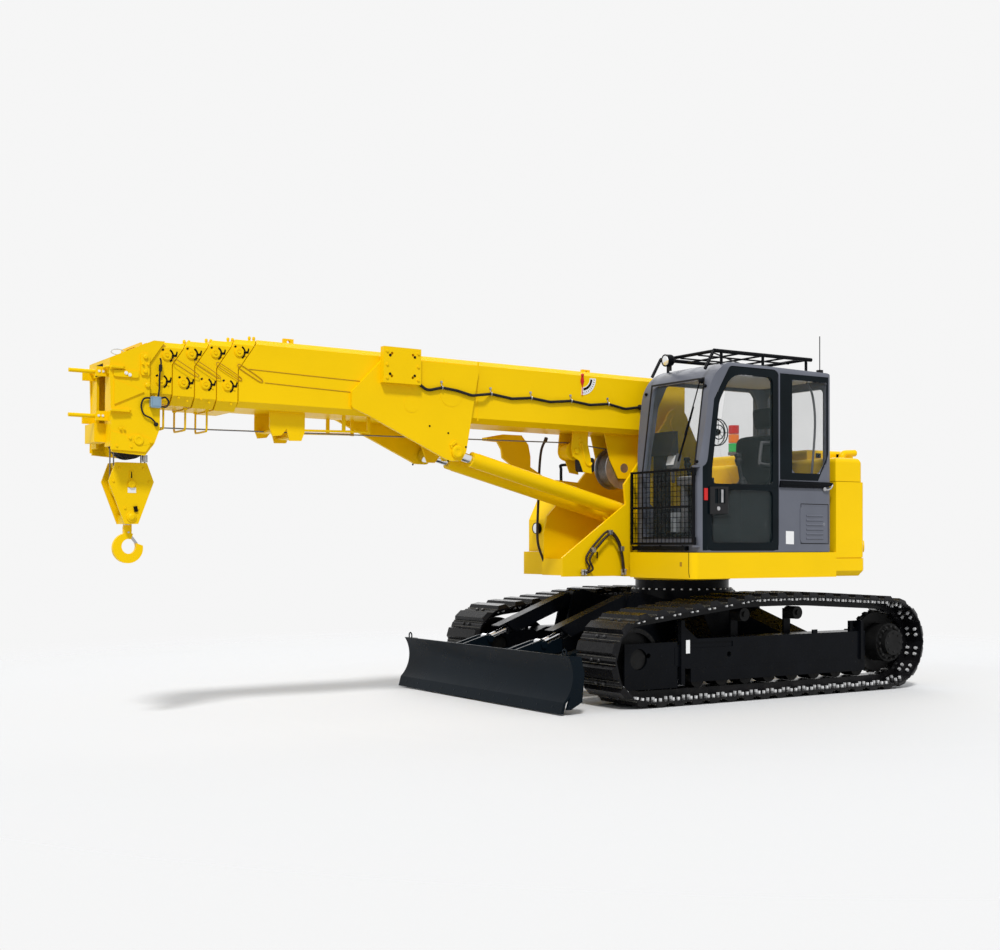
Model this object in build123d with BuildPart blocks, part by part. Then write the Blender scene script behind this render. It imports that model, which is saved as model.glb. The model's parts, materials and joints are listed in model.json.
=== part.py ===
from build123d import *
from math import atan2, ceil, cos, degrees, hypot, pi, radians, sin
import os

# Crawler crane: a six-section telescopic boom on a slewing upper with a side cab,
# carried by a tracked undercarriage with a blade. Millimetres.
# +X points to the boom tip, +Y to the cab side, +Z up.
# The origin is on the ground under the slewing axis.

os.makedirs("parts", exist_ok=True)

# ---------------------------------------------------------------- driving sizes
# Tracks
SHOE_WIDTH = 500.0            # shoe width across the machine
TRACK_OUTER_Y = 1245.0        # half of the width over both tracks
SHOE_PLATE = 14.0             # plate under the pad
PAD_HEIGHT = 34.0             # raised pad of each shoe
PAD_LENGTH = 112.0            # pad length along the track
PAD_TAPER = 28.0              # bevel angle of the pad's ends and sides
LINK_HEIGHT = 68.0            # link chain inside the shoes
LINK_WIDTH = 150.0
SHOE_COUNT = 42
SPROCKET_X = -1337.0
SPROCKET_SHOE_R = 401.5       # sprocket centre to pad tip
IDLER_FRONT_X = 1722.0        # foremost pad tip
IDLER_SHOE_R = 366.0          # idler centre to pad tip
CARRIER_X = (222.0, -372.0)
CARRIER_TOP_Z = 858.0         # pad tip height over the carrier rollers
CARRIER_R = 62.0
CARRIER_PIN_R = 24.0
ROLLER_R = 72.0
ROLLER_FRONT_X = 735.0
ROLLER_REAR_X = -1062.0
ROLLER_COUNT = 8
FINAL_DRIVE_R = 165.0
FINAL_DRIVE_HUB_R = 107.0
# Undercarriage
FRAME_TOP_Z = 505.0
FRAME_BOTTOM_Z = 233.0
FRAME_INNER_Y = 880.0
FRAME_OUTER_Y = 1110.0
FRAME_FRONT_X = 880.0
FRAME_REAR_X = -1118.0
RING_R = 412.0
RING_BOTTOM_Z = 800.0
# Blade
BLADE_WIDTH = 2490.0
BLADE_TOP_X = 2120.0
BLADE_TOP_Z = 435.0
BLADE_EDGE_X = 2182.0
BLADE_EDGE_Z = 12.0           # the cutting edge rides just clear of the ground
BLADE_PLATE = 22.0
ARM_PIVOT_X = 1000.0
ARM_PIVOT_Z = 400.0
ARM_PIN_R = 28.0
ARM_HALF = 60.0
ARM_Y = 400.0
BLADE_PIN_X = 1800.0
BLADE_PIN_Z = 460.0
BLADE_CYL_X = 900.0
BLADE_CYL_Z = 800.0
BLADE_CYL_R = 48.0
BLADE_ROD_R = 26.0
# Upper structure
DECK_BOTTOM_Z = 985.0
DECK_PLATE = 60.0
SKIRT_TOP_Z = 1186.0
UPPER_HALF_WIDTH = 1220.0
UPPER_FRONT_X = 905.0
SKIRT_REAR_X = -655.0
SKIRT_INNER_Y = 417.0
SKIRT_WALL = 25.0
TAIL_R = 1560.0
WEIGHT_TOP_Z = 1780.0
WEIGHT_WALL = 240.0
HOOD_TOP_Z = 1985.0
HUMP_TOP_Z = 2075.0
EXHAUST_R = 30.0
PANEL = 20.0
BRACKET_Y = 310.0             # inner face of the boom bracket plates
BRACKET_PLATE = 25.0
# Boom
FOOT_X = 330.0
FOOT_Z = 2290.0
BOOM_PITCH = 0.65             # degrees above level, as parked
BOOM_HALF_WIDTH = 250.0
BOOM_BOTTOM = -112.0          # below the foot pin line
BOOM_TOP = 382.0              # above the foot pin line
BOOM_WALL = 8.0
BOOM_CHAMFER = 40.0
BOOM_REAR = -150.0
SECTION_SIDE_STEP = 21.0
SECTION_HEIGHT_STEP = 22.0
COLLAR_LINE = 3780.0          # upper end of the base section's front edge
COLLAR_SLANT = 155.0          # how far its lower stretch stands ahead
COLLAR_KNEE = 150.0           # height of the knee in the front edge
COLLAR_LENGTH = 158.0
COLLAR_GAP = 6.0
FOOT_PIN_R = 45.0
# Luffing cylinders
ROD_PIN_S = 2156.0
ROD_PIN_T = -345.0
CYL_BASE_X = 720.0
CYL_BASE_Z = 1513.0
CYL_Y = 182.0
CYL_R = 62.0
ROD_R = 36.0
LUFF_STROKE = 1030.0
CYL_PIN_R = 32.0
ROD_PLAY = 1.5                 # radial play of a rod in its barrel
PIN_PLAY = 0.5                # radial play of a hinge pin in its eye
EYE_WIDTH = 96.0
FORK_PLATE = 30.0
# Boom head, hook block and hook
HEAD_HALF_WIDTH = 240.0
HEAD_FRONT = 4850.0
HEAD_PLATE = 22.0
SHEAVE_S = 4650.0
SHEAVE_T = -383.0
SHEAVE_R = 120.0
SHEAVE_WIDTH = 46.0
SHEAVE_Y = 42.0
ROPE_R = 5.0
ROPE_GROOVE = 16.0
HOOK_BOTTOM_Z = 1120.0
BLOCK_BOTTOM_Z = 1392.0
BLOCK_BASE = 60.0
SHANK_R = 22.0
HOOK_GAP = 5.0
BLOCK_TOP_Z = 1815.0
BLOCK_HALF_Y = 92.0
# Winch under the boom
WINCH_S = 390.0
WINCH_T = -392.0
DRUM_R = 142.0
FLANGE_R = 178.0
DRUM_HALF = 74.0
ROLLER_S = 892.0               # rope roller under the base section
ROLLER_T = -268.0
TRAY_Y = 132.0
HOSE_R = 11.0
# Cab
CAB_FRONT_X = 830.0
CAB_REAR_X = -623.0
CAB_RIGHT_Y = 375.0
CAB_LEFT_Y = UPPER_HALF_WIDTH
CAB_FLOOR_Z = 1190.0
CAB_ROOF_Z = 2705.0
CAB_WALL = 34.0
CAB_CORNER_R = 75.0
GLASS = 6.0
DOOR_REAR_X = 0.0
DOOR_GAP = 4.0
GUARD_X = CAB_FRONT_X + 26.0     # middle of the front guard's frame
GUARD_HINGE_Y = CAB_LEFT_Y - 44.0
GUARD_HINGE_R = 13.0
GUARD_PIN_R = 7.0
LOUVRE_COUNT = 6
LOUVRE_PITCH = 37.6
GUARD_LOW_Z = 1258.0
GUARD_HIGH_Z = 1842.0

# ---------------------------------------------------------------- derived places
SHOE_HEIGHT = SHOE_PLATE + PAD_HEIGHT
TRACK_Y = TRACK_OUTER_Y - SHOE_WIDTH / 2
SPROCKET_Z = SPROCKET_SHOE_R
IDLER_X = IDLER_FRONT_X - IDLER_SHOE_R
IDLER_Z = IDLER_SHOE_R
LINK_TO_TIP = SHOE_HEIGHT + LINK_HEIGHT
ROLLER_Z = LINK_TO_TIP + ROLLER_R
DECK_TOP_Z = DECK_BOTTOM_Z + DECK_PLATE
BRACKET_OUTER_Y = BRACKET_Y + BRACKET_PLATE

PITCH = radians(BOOM_PITCH)
BOOM_DIR = Vector(cos(PITCH), 0, sin(PITCH))
BOOM_UP = Vector(-sin(PITCH), 0, cos(PITCH))
FOOT = Vector(FOOT_X, 0, FOOT_Z)


def save(builder, name):
    """Label one finished sub-part and write it."""
    builder.part.label = name
    export_step(builder.part, f"parts/{name}.step")


def side_plane(y):
    """Vertical plane seen from the right side: local x forward, local y up, normal -Y."""
    return Plane(origin=(0, y, 0), x_dir=(1, 0, 0), z_dir=(0, -1, 0))


def boom_side(y):
    """The same along the boom: local x from the foot pin to the tip, local y up."""
    origin = FOOT + Vector(0, y, 0)
    return Plane(origin=origin, x_dir=BOOM_DIR, z_dir=(0, -1, 0))


def boom_cross(s):
    """Section plane across the boom at distance s from the foot pin: local x is +Y."""
    return Plane(origin=FOOT + BOOM_DIR * s, x_dir=(0, 1, 0), z_dir=BOOM_DIR)


def boom_point(s, t):
    """World X and Z of a point given along and above the foot pin line."""
    point = FOOT + BOOM_DIR * s + BOOM_UP * t
    return point.X, point.Z


def box(x0, x1, y0, y1, z0, z1, mode=Mode.ADD):
    """Axis-aligned block between two corners."""
    with Locations(((x0 + x1) / 2, (y0 + y1) / 2, (z0 + z1) / 2)):
        Box(x1 - x0, y1 - y0, z1 - z0, mode=mode)


def disc(x, z, radius, y0, y1, mode=Mode.ADD):
    """Round solid on a crosswise axis, from y0 to y1."""
    with Locations(Location((x, (y0 + y1) / 2, z), (90, 0, 0))):
        Cylinder(radius, y1 - y0, mode=mode)


def plate(points, y0, y1, plane=side_plane, mode=Mode.ADD):
    """Flat plate with a straight-sided outline, between y0 and y1."""
    with BuildSketch(plane(y1)) as outline:
        Polygon(*points, align=None)
    extrude(outline.sketch, amount=y1 - y0, mode=mode)


def rod(start, end, radius, mode=Mode.ADD):
    """Round bar between two points."""
    start = Vector(*start)
    end = Vector(*end)
    with BuildSketch(Plane(origin=start, z_dir=end - start)) as section:
        Circle(radius)
    extrude(section.sketch, amount=(end - start).length, mode=mode)


# ---------------------------------------------------------------- track path
# The loop runs round the sprocket and the idler; carrier rollers hold up its top run.
def wrap_circles():
    """Circles that the pad tips wrap round, as (x, z, radius)."""
    carrier_r = LINK_TO_TIP + CARRIER_R
    carrier_z = CARRIER_TOP_Z - carrier_r
    circles = [(SPROCKET_X, SPROCKET_Z, SPROCKET_SHOE_R), (IDLER_X, IDLER_Z, IDLER_SHOE_R)]
    circles += [(x, carrier_z, carrier_r) for x in CARRIER_X]
    return circles


def path_pieces(inset):
    """Arcs and straight runs of the loop, drawn in from the pad tips."""
    circles = wrap_circles()
    leans = []
    for index, (x0, z0, r0) in enumerate(circles):
        x1, z1, r1 = circles[(index + 1) % len(circles)]
        reach = hypot(x1 - x0, z1 - z0)
        leans.append(atan2(z1 - z0, x1 - x0) - pi / 2 + atan2(r0 - r1, reach))
    pieces = []
    for index, (x, z, r) in enumerate(circles):
        start = leans[index - 1]
        lean = leans[index]
        sweep = (lean - start) % (2 * pi)
        radius = r - inset
        pieces.append(("arc", (x, z, radius), (start, sweep), radius * sweep))
        x1, z1, r1 = circles[(index + 1) % len(circles)]
        begin = (x + radius * cos(lean), z + radius * sin(lean))
        end = (x1 + (r1 - inset) * cos(lean), z1 + (r1 - inset) * sin(lean))
        pieces.append(("run", begin, end, hypot(end[0] - begin[0], end[1] - begin[1])))
    return pieces


def shoe_pitch():
    """Distance between shoe joints along the back of the shoe plates."""
    return sum(piece[-1] for piece in path_pieces(SHOE_HEIGHT)) / SHOE_COUNT


def path_points(inset):
    """Shoe joints on the loop: evenly spaced along the shoe backs, then drawn in."""
    reference = path_pieces(SHOE_HEIGHT)
    pieces = path_pieces(inset)
    pitch = shoe_pitch()
    points = []
    for number in range(SHOE_COUNT):
        left = pitch * number
        index = 0
        while left > reference[index][-1]:
            left -= reference[index][-1]
            index += 1
        share = left / reference[index][-1]
        kind, first, second, _ = pieces[index]
        if kind == "arc":
            angle = second[0] + second[1] * share
            points.append((first[0] + first[2] * cos(angle), first[1] + first[2] * sin(angle)))
        else:
            points.append((first[0] + (second[0] - first[0]) * share,
                           first[1] + (second[1] - first[1]) * share))
    return points


def chain_inside(shoe_r):
    """Largest round wheel that fits inside the straight-sided link chain."""
    half_angle = shoe_pitch() / 2 / (shoe_r - SHOE_HEIGHT)
    return (shoe_r - LINK_TO_TIP) * cos(half_angle)


def build_track(side, name):
    """One endless track: shoe band, bevelled pads and the link chain inside."""
    centre = side * TRACK_Y
    low = centre - SHOE_WIDTH / 2
    outer = path_points(PAD_HEIGHT)
    inner = path_points(SHOE_HEIGHT)
    link = path_points(LINK_TO_TIP)
    with BuildPart() as track:
        plate(outer, low, low + SHOE_WIDTH)
        plate(inner, low, low + SHOE_WIDTH, mode=Mode.SUBTRACT)
        plate(inner, centre - LINK_WIDTH / 2, centre + LINK_WIDTH / 2)
        plate(link, centre - LINK_WIDTH / 2, centre + LINK_WIDTH / 2, mode=Mode.SUBTRACT)
        for index, (x0, z0) in enumerate(outer):
            x1, z1 = outer[(index + 1) % SHOE_COUNT]
            run = Vector(x1 - x0, 0, z1 - z0)
            normal = Vector(run.Z, 0, -run.X).normalized()
            middle = Vector((x0 + x1) / 2, centre, (z0 + z1) / 2)
            with BuildSketch(Plane(origin=middle, x_dir=run.normalized(), z_dir=normal)):
                Rectangle(PAD_LENGTH, SHOE_WIDTH - 2)
        extrude(amount=PAD_HEIGHT, taper=PAD_TAPER)
    save(track, name)
    return track


def mirrored(source, name):
    """The same sub-part on the other side of the machine."""
    with BuildPart() as copy:
        mirror(source.part, about=Plane.XZ)
    save(copy, name)


# ---------------------------------------------------------------- tracks
def build_sprocket(name):
    """Toothed wheel in the chain, its hub and the final drive cover outside it."""
    root_r = chain_inside(SPROCKET_SHOE_R) - 4
    tooth = 2 * pi * root_r / 21
    with BuildPart() as sprocket:
        disc(SPROCKET_X, SPROCKET_Z, root_r - 18, TRACK_Y - 30, TRACK_Y + 30)
        with BuildSketch(side_plane(TRACK_Y + 22)) as teeth:
            with Locations((SPROCKET_X, SPROCKET_Z)):
                with PolarLocations(root_r - 16, 21):
                    Rectangle(32, tooth * 0.42)
        extrude(teeth.sketch, amount=44)
        disc(SPROCKET_X, SPROCKET_Z, FINAL_DRIVE_R, TRACK_Y + 30, TRACK_OUTER_Y - 62)
        disc(SPROCKET_X, SPROCKET_Z, FINAL_DRIVE_HUB_R, TRACK_OUTER_Y - 62, TRACK_OUTER_Y - 12)
        disc(SPROCKET_X, SPROCKET_Z, FINAL_DRIVE_R - 10, FRAME_INNER_Y, TRACK_Y - 30)
        with Locations(Location((SPROCKET_X, TRACK_OUTER_Y - 57, SPROCKET_Z), (90, 0, 0))):
            with PolarLocations((FINAL_DRIVE_R + FINAL_DRIVE_HUB_R) / 2, 12):
                Cylinder(9, 26)
    save(sprocket, name)
    return sprocket


def build_idler(name):
    """Front idler wheel with two rims, a web and its hub."""
    rim_r = chain_inside(IDLER_SHOE_R) - 2
    with BuildPart() as idler:
        disc(IDLER_X, IDLER_Z, rim_r, TRACK_Y - 60, TRACK_Y + 60)
        disc(IDLER_X, IDLER_Z, rim_r - 34, TRACK_Y - 60, TRACK_Y - 20, mode=Mode.SUBTRACT)
        disc(IDLER_X, IDLER_Z, rim_r - 34, TRACK_Y + 20, TRACK_Y + 60, mode=Mode.SUBTRACT)
        disc(IDLER_X, IDLER_Z, 78, TRACK_Y - 92, TRACK_Y + 92)
    save(idler, name)
    return idler


def build_rollers(name):
    """Bottom rollers under the track frame and carrier rollers above it."""
    step = (ROLLER_FRONT_X - ROLLER_REAR_X) / (ROLLER_COUNT - 1)
    with BuildPart() as rollers:
        for number in range(ROLLER_COUNT):
            x = ROLLER_REAR_X + step * number
            disc(x, ROLLER_Z, ROLLER_R - 1, TRACK_Y - 72, TRACK_Y + 72)
            disc(x, ROLLER_Z, 30, TRACK_Y - 104, TRACK_Y + 104)
        carrier_z = CARRIER_TOP_Z - LINK_TO_TIP - CARRIER_R
        for x in CARRIER_X:
            disc(x, carrier_z, CARRIER_R - 8, TRACK_Y - 60, TRACK_Y + 60)
            disc(x, carrier_z, CARRIER_PIN_R, TRACK_Y - 84, TRACK_Y + 74)
    save(rollers, name)
    return rollers


def build_track_frame(name):
    """Box beam of one track with roller guards, idler yoke and drive carrier."""
    slope_z = FRAME_TOP_Z - 60
    carrier_z = CARRIER_TOP_Z - LINK_TO_TIP - CARRIER_R
    side = [
        (FRAME_REAR_X, FRAME_BOTTOM_Z + 60),
        (FRAME_REAR_X + 60, FRAME_BOTTOM_Z + 40),
        (FRAME_FRONT_X, FRAME_BOTTOM_Z + 40),
        (FRAME_FRONT_X + 120, FRAME_BOTTOM_Z + 70),
        (FRAME_FRONT_X + 120, slope_z),
        (FRAME_FRONT_X - 40, FRAME_TOP_Z),
        (FRAME_REAR_X, FRAME_TOP_Z),
    ]
    guard_half = 104
    with BuildPart() as frame:
        plate(side, FRAME_INNER_Y + 25, FRAME_OUTER_Y)
        # roller guards hang on both sides of the rollers
        for y in (TRACK_Y - guard_half - 14, TRACK_Y + guard_half):
            box(FRAME_REAR_X + 10, FRAME_FRONT_X - 40, y, y + 14, ROLLER_Z - 22, FRAME_BOTTOM_Z + 40)
        # yoke plates either side of the idler, open round its hub
        for y in (TRACK_Y - 112, TRACK_Y + 94):
            box(FRAME_FRONT_X + 92, IDLER_X + 138, y, y + 18, 130, 488)
        disc(IDLER_X, IDLER_Z, 82, TRACK_Y - 130, TRACK_Y + 130, mode=Mode.SUBTRACT)
        # drive carrier behind the sprocket
        box(SPROCKET_X - 40, FRAME_REAR_X + 10, FRAME_INNER_Y - 4, FRAME_INNER_Y + 40,
            SPROCKET_Z - 120, SPROCKET_Z + 110)
        disc(SPROCKET_X, SPROCKET_Z, FINAL_DRIVE_R - 8, FRAME_INNER_Y - 10, FRAME_INNER_Y + 60,
             mode=Mode.SUBTRACT)
        disc(SPROCKET_X, SPROCKET_Z, chain_inside(SPROCKET_SHOE_R) + 12, TRACK_Y - 84,
             TRACK_Y + 84, mode=Mode.SUBTRACT)
        # carrier roller posts behind the rollers
        for x in CARRIER_X:
            box(x - 38, x + 38, TRACK_Y - 84, TRACK_Y - 66, FRAME_TOP_Z - 10, carrier_z + 34)
            disc(x, carrier_z, CARRIER_PIN_R + PIN_PLAY, TRACK_Y - 90, TRACK_Y - 60,
                 mode=Mode.SUBTRACT)
        # upright end plates at the outer edge, with a gusset on the front one
        outer = FRAME_OUTER_Y + 20
        box(FRAME_FRONT_X + 35, FRAME_FRONT_X + 72, outer - 44, outer, 150, 655)
        plate([(FRAME_FRONT_X - 120, FRAME_TOP_Z - 10), (FRAME_FRONT_X + 40, FRAME_TOP_Z - 10),
               (FRAME_FRONT_X + 40, 620)], outer - 32, outer - 18)
        box(FRAME_REAR_X + 42, FRAME_REAR_X + 72, outer - 44, outer, 262, 600)
        # stamped recess, hole and small lug on the outer face
        box(400, 850, FRAME_OUTER_Y - 8, FRAME_OUTER_Y + 1, 432, 476, mode=Mode.SUBTRACT)
        disc(440, 370, 22, FRAME_OUTER_Y - 25, FRAME_OUTER_Y + 1, mode=Mode.SUBTRACT)
        box(-556, -504, FRAME_OUTER_Y - 26, FRAME_OUTER_Y - 8, FRAME_TOP_Z - 6, FRAME_TOP_Z + 30)
        disc(IDLER_X - 96, IDLER_Z + 24, 20, TRACK_Y + 80, TRACK_Y + 120, mode=Mode.SUBTRACT)
        # lashing eye at the rear end
        box(FRAME_REAR_X + 40, FRAME_REAR_X + 150, FRAME_OUTER_Y - 60, FRAME_OUTER_Y - 30,
            FRAME_TOP_Z - 10, FRAME_TOP_Z + 90)
        disc(FRAME_REAR_X + 95, FRAME_TOP_Z + 50, 22, FRAME_OUTER_Y - 70, FRAME_OUTER_Y - 20,
             mode=Mode.SUBTRACT)
    save(frame, name)
    return frame


def build_carbody():
    """Centre frame: box, four legs to the track frames, turret ring, front brackets."""
    leg = 300
    with BuildPart() as carbody:
        plate([(-520, 430), (520, 430), (470, RING_BOTTOM_Z - 40), (-470, RING_BOTTOM_Z - 40)],
              -470, 470)
        for side in (-1, 1):
            for end in (-1, 1):
                x = end * 460
                with BuildSketch(side_plane(side * FRAME_INNER_Y + side * 24)) as foot_end:
                    with Locations((x * 1.25, 375)):
                        Rectangle(leg, 190)
                with BuildSketch(side_plane(side * 400)) as root_end:
                    with Locations((x * 0.62, 590)):
                        Rectangle(leg, 290)
                loft([foot_end.sketch, root_end.sketch])
        with Locations((0, 0, (RING_BOTTOM_Z - 40 + RING_BOTTOM_Z + 60) / 2)):
            Cylinder(RING_R + 40, 100)
        with Locations((0, 0, (RING_BOTTOM_Z + 60 + DECK_BOTTOM_Z - 45) / 2)):
            Cylinder(RING_R, DECK_BOTTOM_Z - 45 - RING_BOTTOM_Z - 60)
        # plates that carry the blade arms and the blade cylinders
        for side in (-1, 1):
            for offset in (-92, 68):
                y = side * ARM_Y + offset
                plate([(400, 330), (ARM_PIVOT_X + 60, 330), (ARM_PIVOT_X + 66, 430),
                       (BLADE_CYL_X + 62, BLADE_CYL_Z + 30), (BLADE_CYL_X - 40, BLADE_CYL_Z + 62),
                       (400, 740)], y, y + 24)
            disc(ARM_PIVOT_X, ARM_PIVOT_Z, ARM_PIN_R, side * ARM_Y - 92, side * ARM_Y + 92)
            disc(BLADE_CYL_X, BLADE_CYL_Z, BLADE_ROD_R, side * ARM_Y - 92, side * ARM_Y + 92)
        box(430, 700, -ARM_Y - 92, ARM_Y + 92, 440, 470)
    save(carbody, "carbody")


def build_blade():
    """Curved mouldboard with end plates, cutting edge, clevises and two push arms."""
    half = BLADE_WIDTH / 2
    with BuildPart() as blade:
        with BuildSketch(side_plane(half)) as section:
            with BuildLine():
                front = ThreePointArc((BLADE_TOP_X, BLADE_TOP_Z), (BLADE_TOP_X - 42, 245),
                                      (BLADE_EDGE_X - 24, 96))
                Line(front @ 1, (BLADE_EDGE_X, BLADE_EDGE_Z))
                Line((BLADE_EDGE_X, BLADE_EDGE_Z), (BLADE_EDGE_X - BLADE_PLATE, BLADE_EDGE_Z))
                Line((BLADE_EDGE_X - BLADE_PLATE, BLADE_EDGE_Z),
                     (BLADE_EDGE_X - 24 - BLADE_PLATE, 90))
                back = ThreePointArc((BLADE_EDGE_X - 24 - BLADE_PLATE, 90),
                                     (BLADE_TOP_X - 42 - BLADE_PLATE, 245),
                                     (BLADE_TOP_X - BLADE_PLATE, BLADE_TOP_Z))
                Line(back @ 1, front @ 0)
            make_face()
        extrude(section.sketch, amount=BLADE_WIDTH)
        # end plates and inner ribs behind the mouldboard
        rib = [(BLADE_EDGE_X - 52, 40), (BLADE_TOP_X - 60, 245), (BLADE_TOP_X - 24, BLADE_TOP_Z),
               (BLADE_TOP_X - 120, BLADE_TOP_Z - 10), (BLADE_TOP_X - 150, 300),
               (BLADE_TOP_X - 130, 90), (BLADE_EDGE_X - 90, 40)]
        for y in (-half, half - 18):
            plate(rib, y, y + 18)
        # stiffening box across the back
        plate([(BLADE_TOP_X - 50, 150), (BLADE_TOP_X - 60, 300), (BLADE_TOP_X - 140, 290),
               (BLADE_TOP_X - 130, 160)], -half + 18, half - 18)
        for side in (-1, 1):
            centre = side * ARM_Y
            # push arm
            plate([(BLADE_TOP_X - 120, 150), (BLADE_TOP_X - 120, 290),
                   (ARM_PIVOT_X + 90, ARM_PIVOT_Z + 52), (ARM_PIVOT_X, ARM_PIVOT_Z + 58),
                   (ARM_PIVOT_X - 50, ARM_PIVOT_Z), (ARM_PIVOT_X, ARM_PIVOT_Z - 58),
                   (ARM_PIVOT_X + 140, ARM_PIVOT_Z - 100)], centre - ARM_HALF, centre + ARM_HALF)
            disc(ARM_PIVOT_X, ARM_PIVOT_Z, ARM_PIN_R + PIN_PLAY, centre - ARM_HALF,
                 centre + ARM_HALF, mode=Mode.SUBTRACT)
            # cylinder clevis: two ears
            for y in (centre - 62, centre + 40):
                plate([(BLADE_TOP_X - 130, 200), (BLADE_TOP_X - 60, 200), (BLADE_TOP_X - 46, 425),
                       (BLADE_PIN_X + 60, BLADE_PIN_Z + 26), (BLADE_PIN_X + 10, BLADE_PIN_Z + 34),
                       (BLADE_PIN_X - 26, BLADE_PIN_Z + 22), (BLADE_PIN_X - 34, BLADE_PIN_Z - 16),
                       (BLADE_PIN_X + 40, 300)], y, y + 22)
            # pin stubs in the ears, clear of the rod eye between them
            disc(BLADE_PIN_X, BLADE_PIN_Z, 30, centre - 78, centre - 62)
            disc(BLADE_PIN_X, BLADE_PIN_Z, 30, centre + 62, centre + 78)
    save(blade, "blade")


def build_blade_cylinders():
    """Two barrels with box guards over them, and their rods."""
    base = Vector(BLADE_CYL_X, 0, BLADE_CYL_Z)
    tip = Vector(BLADE_PIN_X, 0, BLADE_PIN_Z)
    along = (tip - base).normalized()
    up = Vector(-along.Z, 0, along.X)
    length = (tip - base).length
    barrel_end = length - 210
    guard_end = length - 122
    rod_inside = 85.0              # how far the rod reaches into its barrel
    stroke_in = 140.0              # how much further it slides in

    def guard_point(s, t):
        point = base + along * s + up * t
        return (point.X, point.Z)

    with BuildPart() as barrels:
        for side in (-1, 1):
            y = side * ARM_Y
            across = Vector(0, y, 0)
            rod(base + across, base + along * barrel_end + across, BLADE_CYL_R)
            disc(BLADE_CYL_X, BLADE_CYL_Z, 56, y - ARM_HALF, y + ARM_HALF)
            # guard: top plate, two cheeks and the feet that carry it on the barrel
            plate([guard_point(70, 54), guard_point(guard_end, 54),
                   guard_point(guard_end, 66), guard_point(70, 66)], y - ARM_HALF, y + ARM_HALF)
            for edge in (y - ARM_HALF, y + ARM_HALF - 8):
                plate([guard_point(70, 55), guard_point(90, -46),
                       guard_point(barrel_end - 60, -46), guard_point(barrel_end - 10, 20),
                       guard_point(barrel_end, 55)], edge, edge + 8)
            for s in (120, barrel_end - 90):
                plate([guard_point(s, 20), guard_point(s + 30, 20), guard_point(s + 30, 55),
                       guard_point(s, 55)], y - ARM_HALF + 4, y + ARM_HALF - 4)
            disc(BLADE_CYL_X, BLADE_CYL_Z, BLADE_ROD_R + PIN_PLAY, y - 70, y + 70,
                 mode=Mode.SUBTRACT)
            rod(base + along * (barrel_end - rod_inside - stroke_in - 10) + across,
                base + along * (barrel_end + 5) + across, BLADE_ROD_R + ROD_PLAY,
                mode=Mode.SUBTRACT)
    save(barrels, "blade_cylinders")

    with BuildPart() as rods:
        for side in (-1, 1):
            y = side * ARM_Y
            across = Vector(0, y, 0)
            rod(base + along * (barrel_end - rod_inside) + across, tip - along * 30 + across,
                BLADE_ROD_R)
            disc(BLADE_PIN_X, BLADE_PIN_Z, 42, y - 34, y + 34)
            disc(BLADE_PIN_X, BLADE_PIN_Z, 22, y - 34, y + 34, mode=Mode.SUBTRACT)
    save(rods, "blade_rods")


# ---------------------------------------------------------------- upper structure
def build_upper_frame():
    """Deck plate on the turret ring, with the centre box under the boom."""
    with BuildPart() as deck:
        with BuildSketch(Plane.XY.offset(DECK_BOTTOM_Z)) as outline:
            with BuildLine():
                front = UPPER_FRONT_X - SKIRT_WALL - 2
                side = UPPER_HALF_WIDTH - SKIRT_WALL - 2
                rear = SKIRT_REAR_X + 2
                cavity_r = TAIL_R - WEIGHT_WALL - 10
                cavity_y = UPPER_HALF_WIDTH - 160
                corner_x = -(cavity_r ** 2 - cavity_y ** 2) ** 0.5
                Polyline((front, -side), (front, side), (rear, side), (rear, cavity_y),
                         (corner_x, cavity_y))
                ThreePointArc((corner_x, cavity_y), (-cavity_r, 0), (corner_x, -cavity_y))
                Polyline((corner_x, -cavity_y), (rear, -cavity_y), (rear, -side), (front, -side))
            make_face()
        extrude(outline.sketch, amount=DECK_PLATE)
        # slewing ring on the underside
        with Locations((0, 0, DECK_BOTTOM_Z - 20)):
            Cylinder(RING_R + 12, 40)
        box(UPPER_FRONT_X - SKIRT_WALL - 2, 1272, -BRACKET_Y, BRACKET_Y,
            DECK_BOTTOM_Z + 5, DECK_BOTTOM_Z + 25)
        box(1247, 1272, -BRACKET_Y, BRACKET_Y, DECK_BOTTOM_Z + 25, 1130)
        box(300, 325, -BRACKET_Y, BRACKET_Y, DECK_TOP_Z, 1330)
    save(deck, "upper_frame")


REST_ARM = [(900, 1600), (1128, 1600), (1690, 1980), (1700, 2050), (1740, 2112), (1880, 2118),
            (1880, 2142), (1690, 2178), (1500, 2178), (1432, 2100), (1410, 2000), (1410, 1910),
            (1240, 1815), (900, 1790)]


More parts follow.
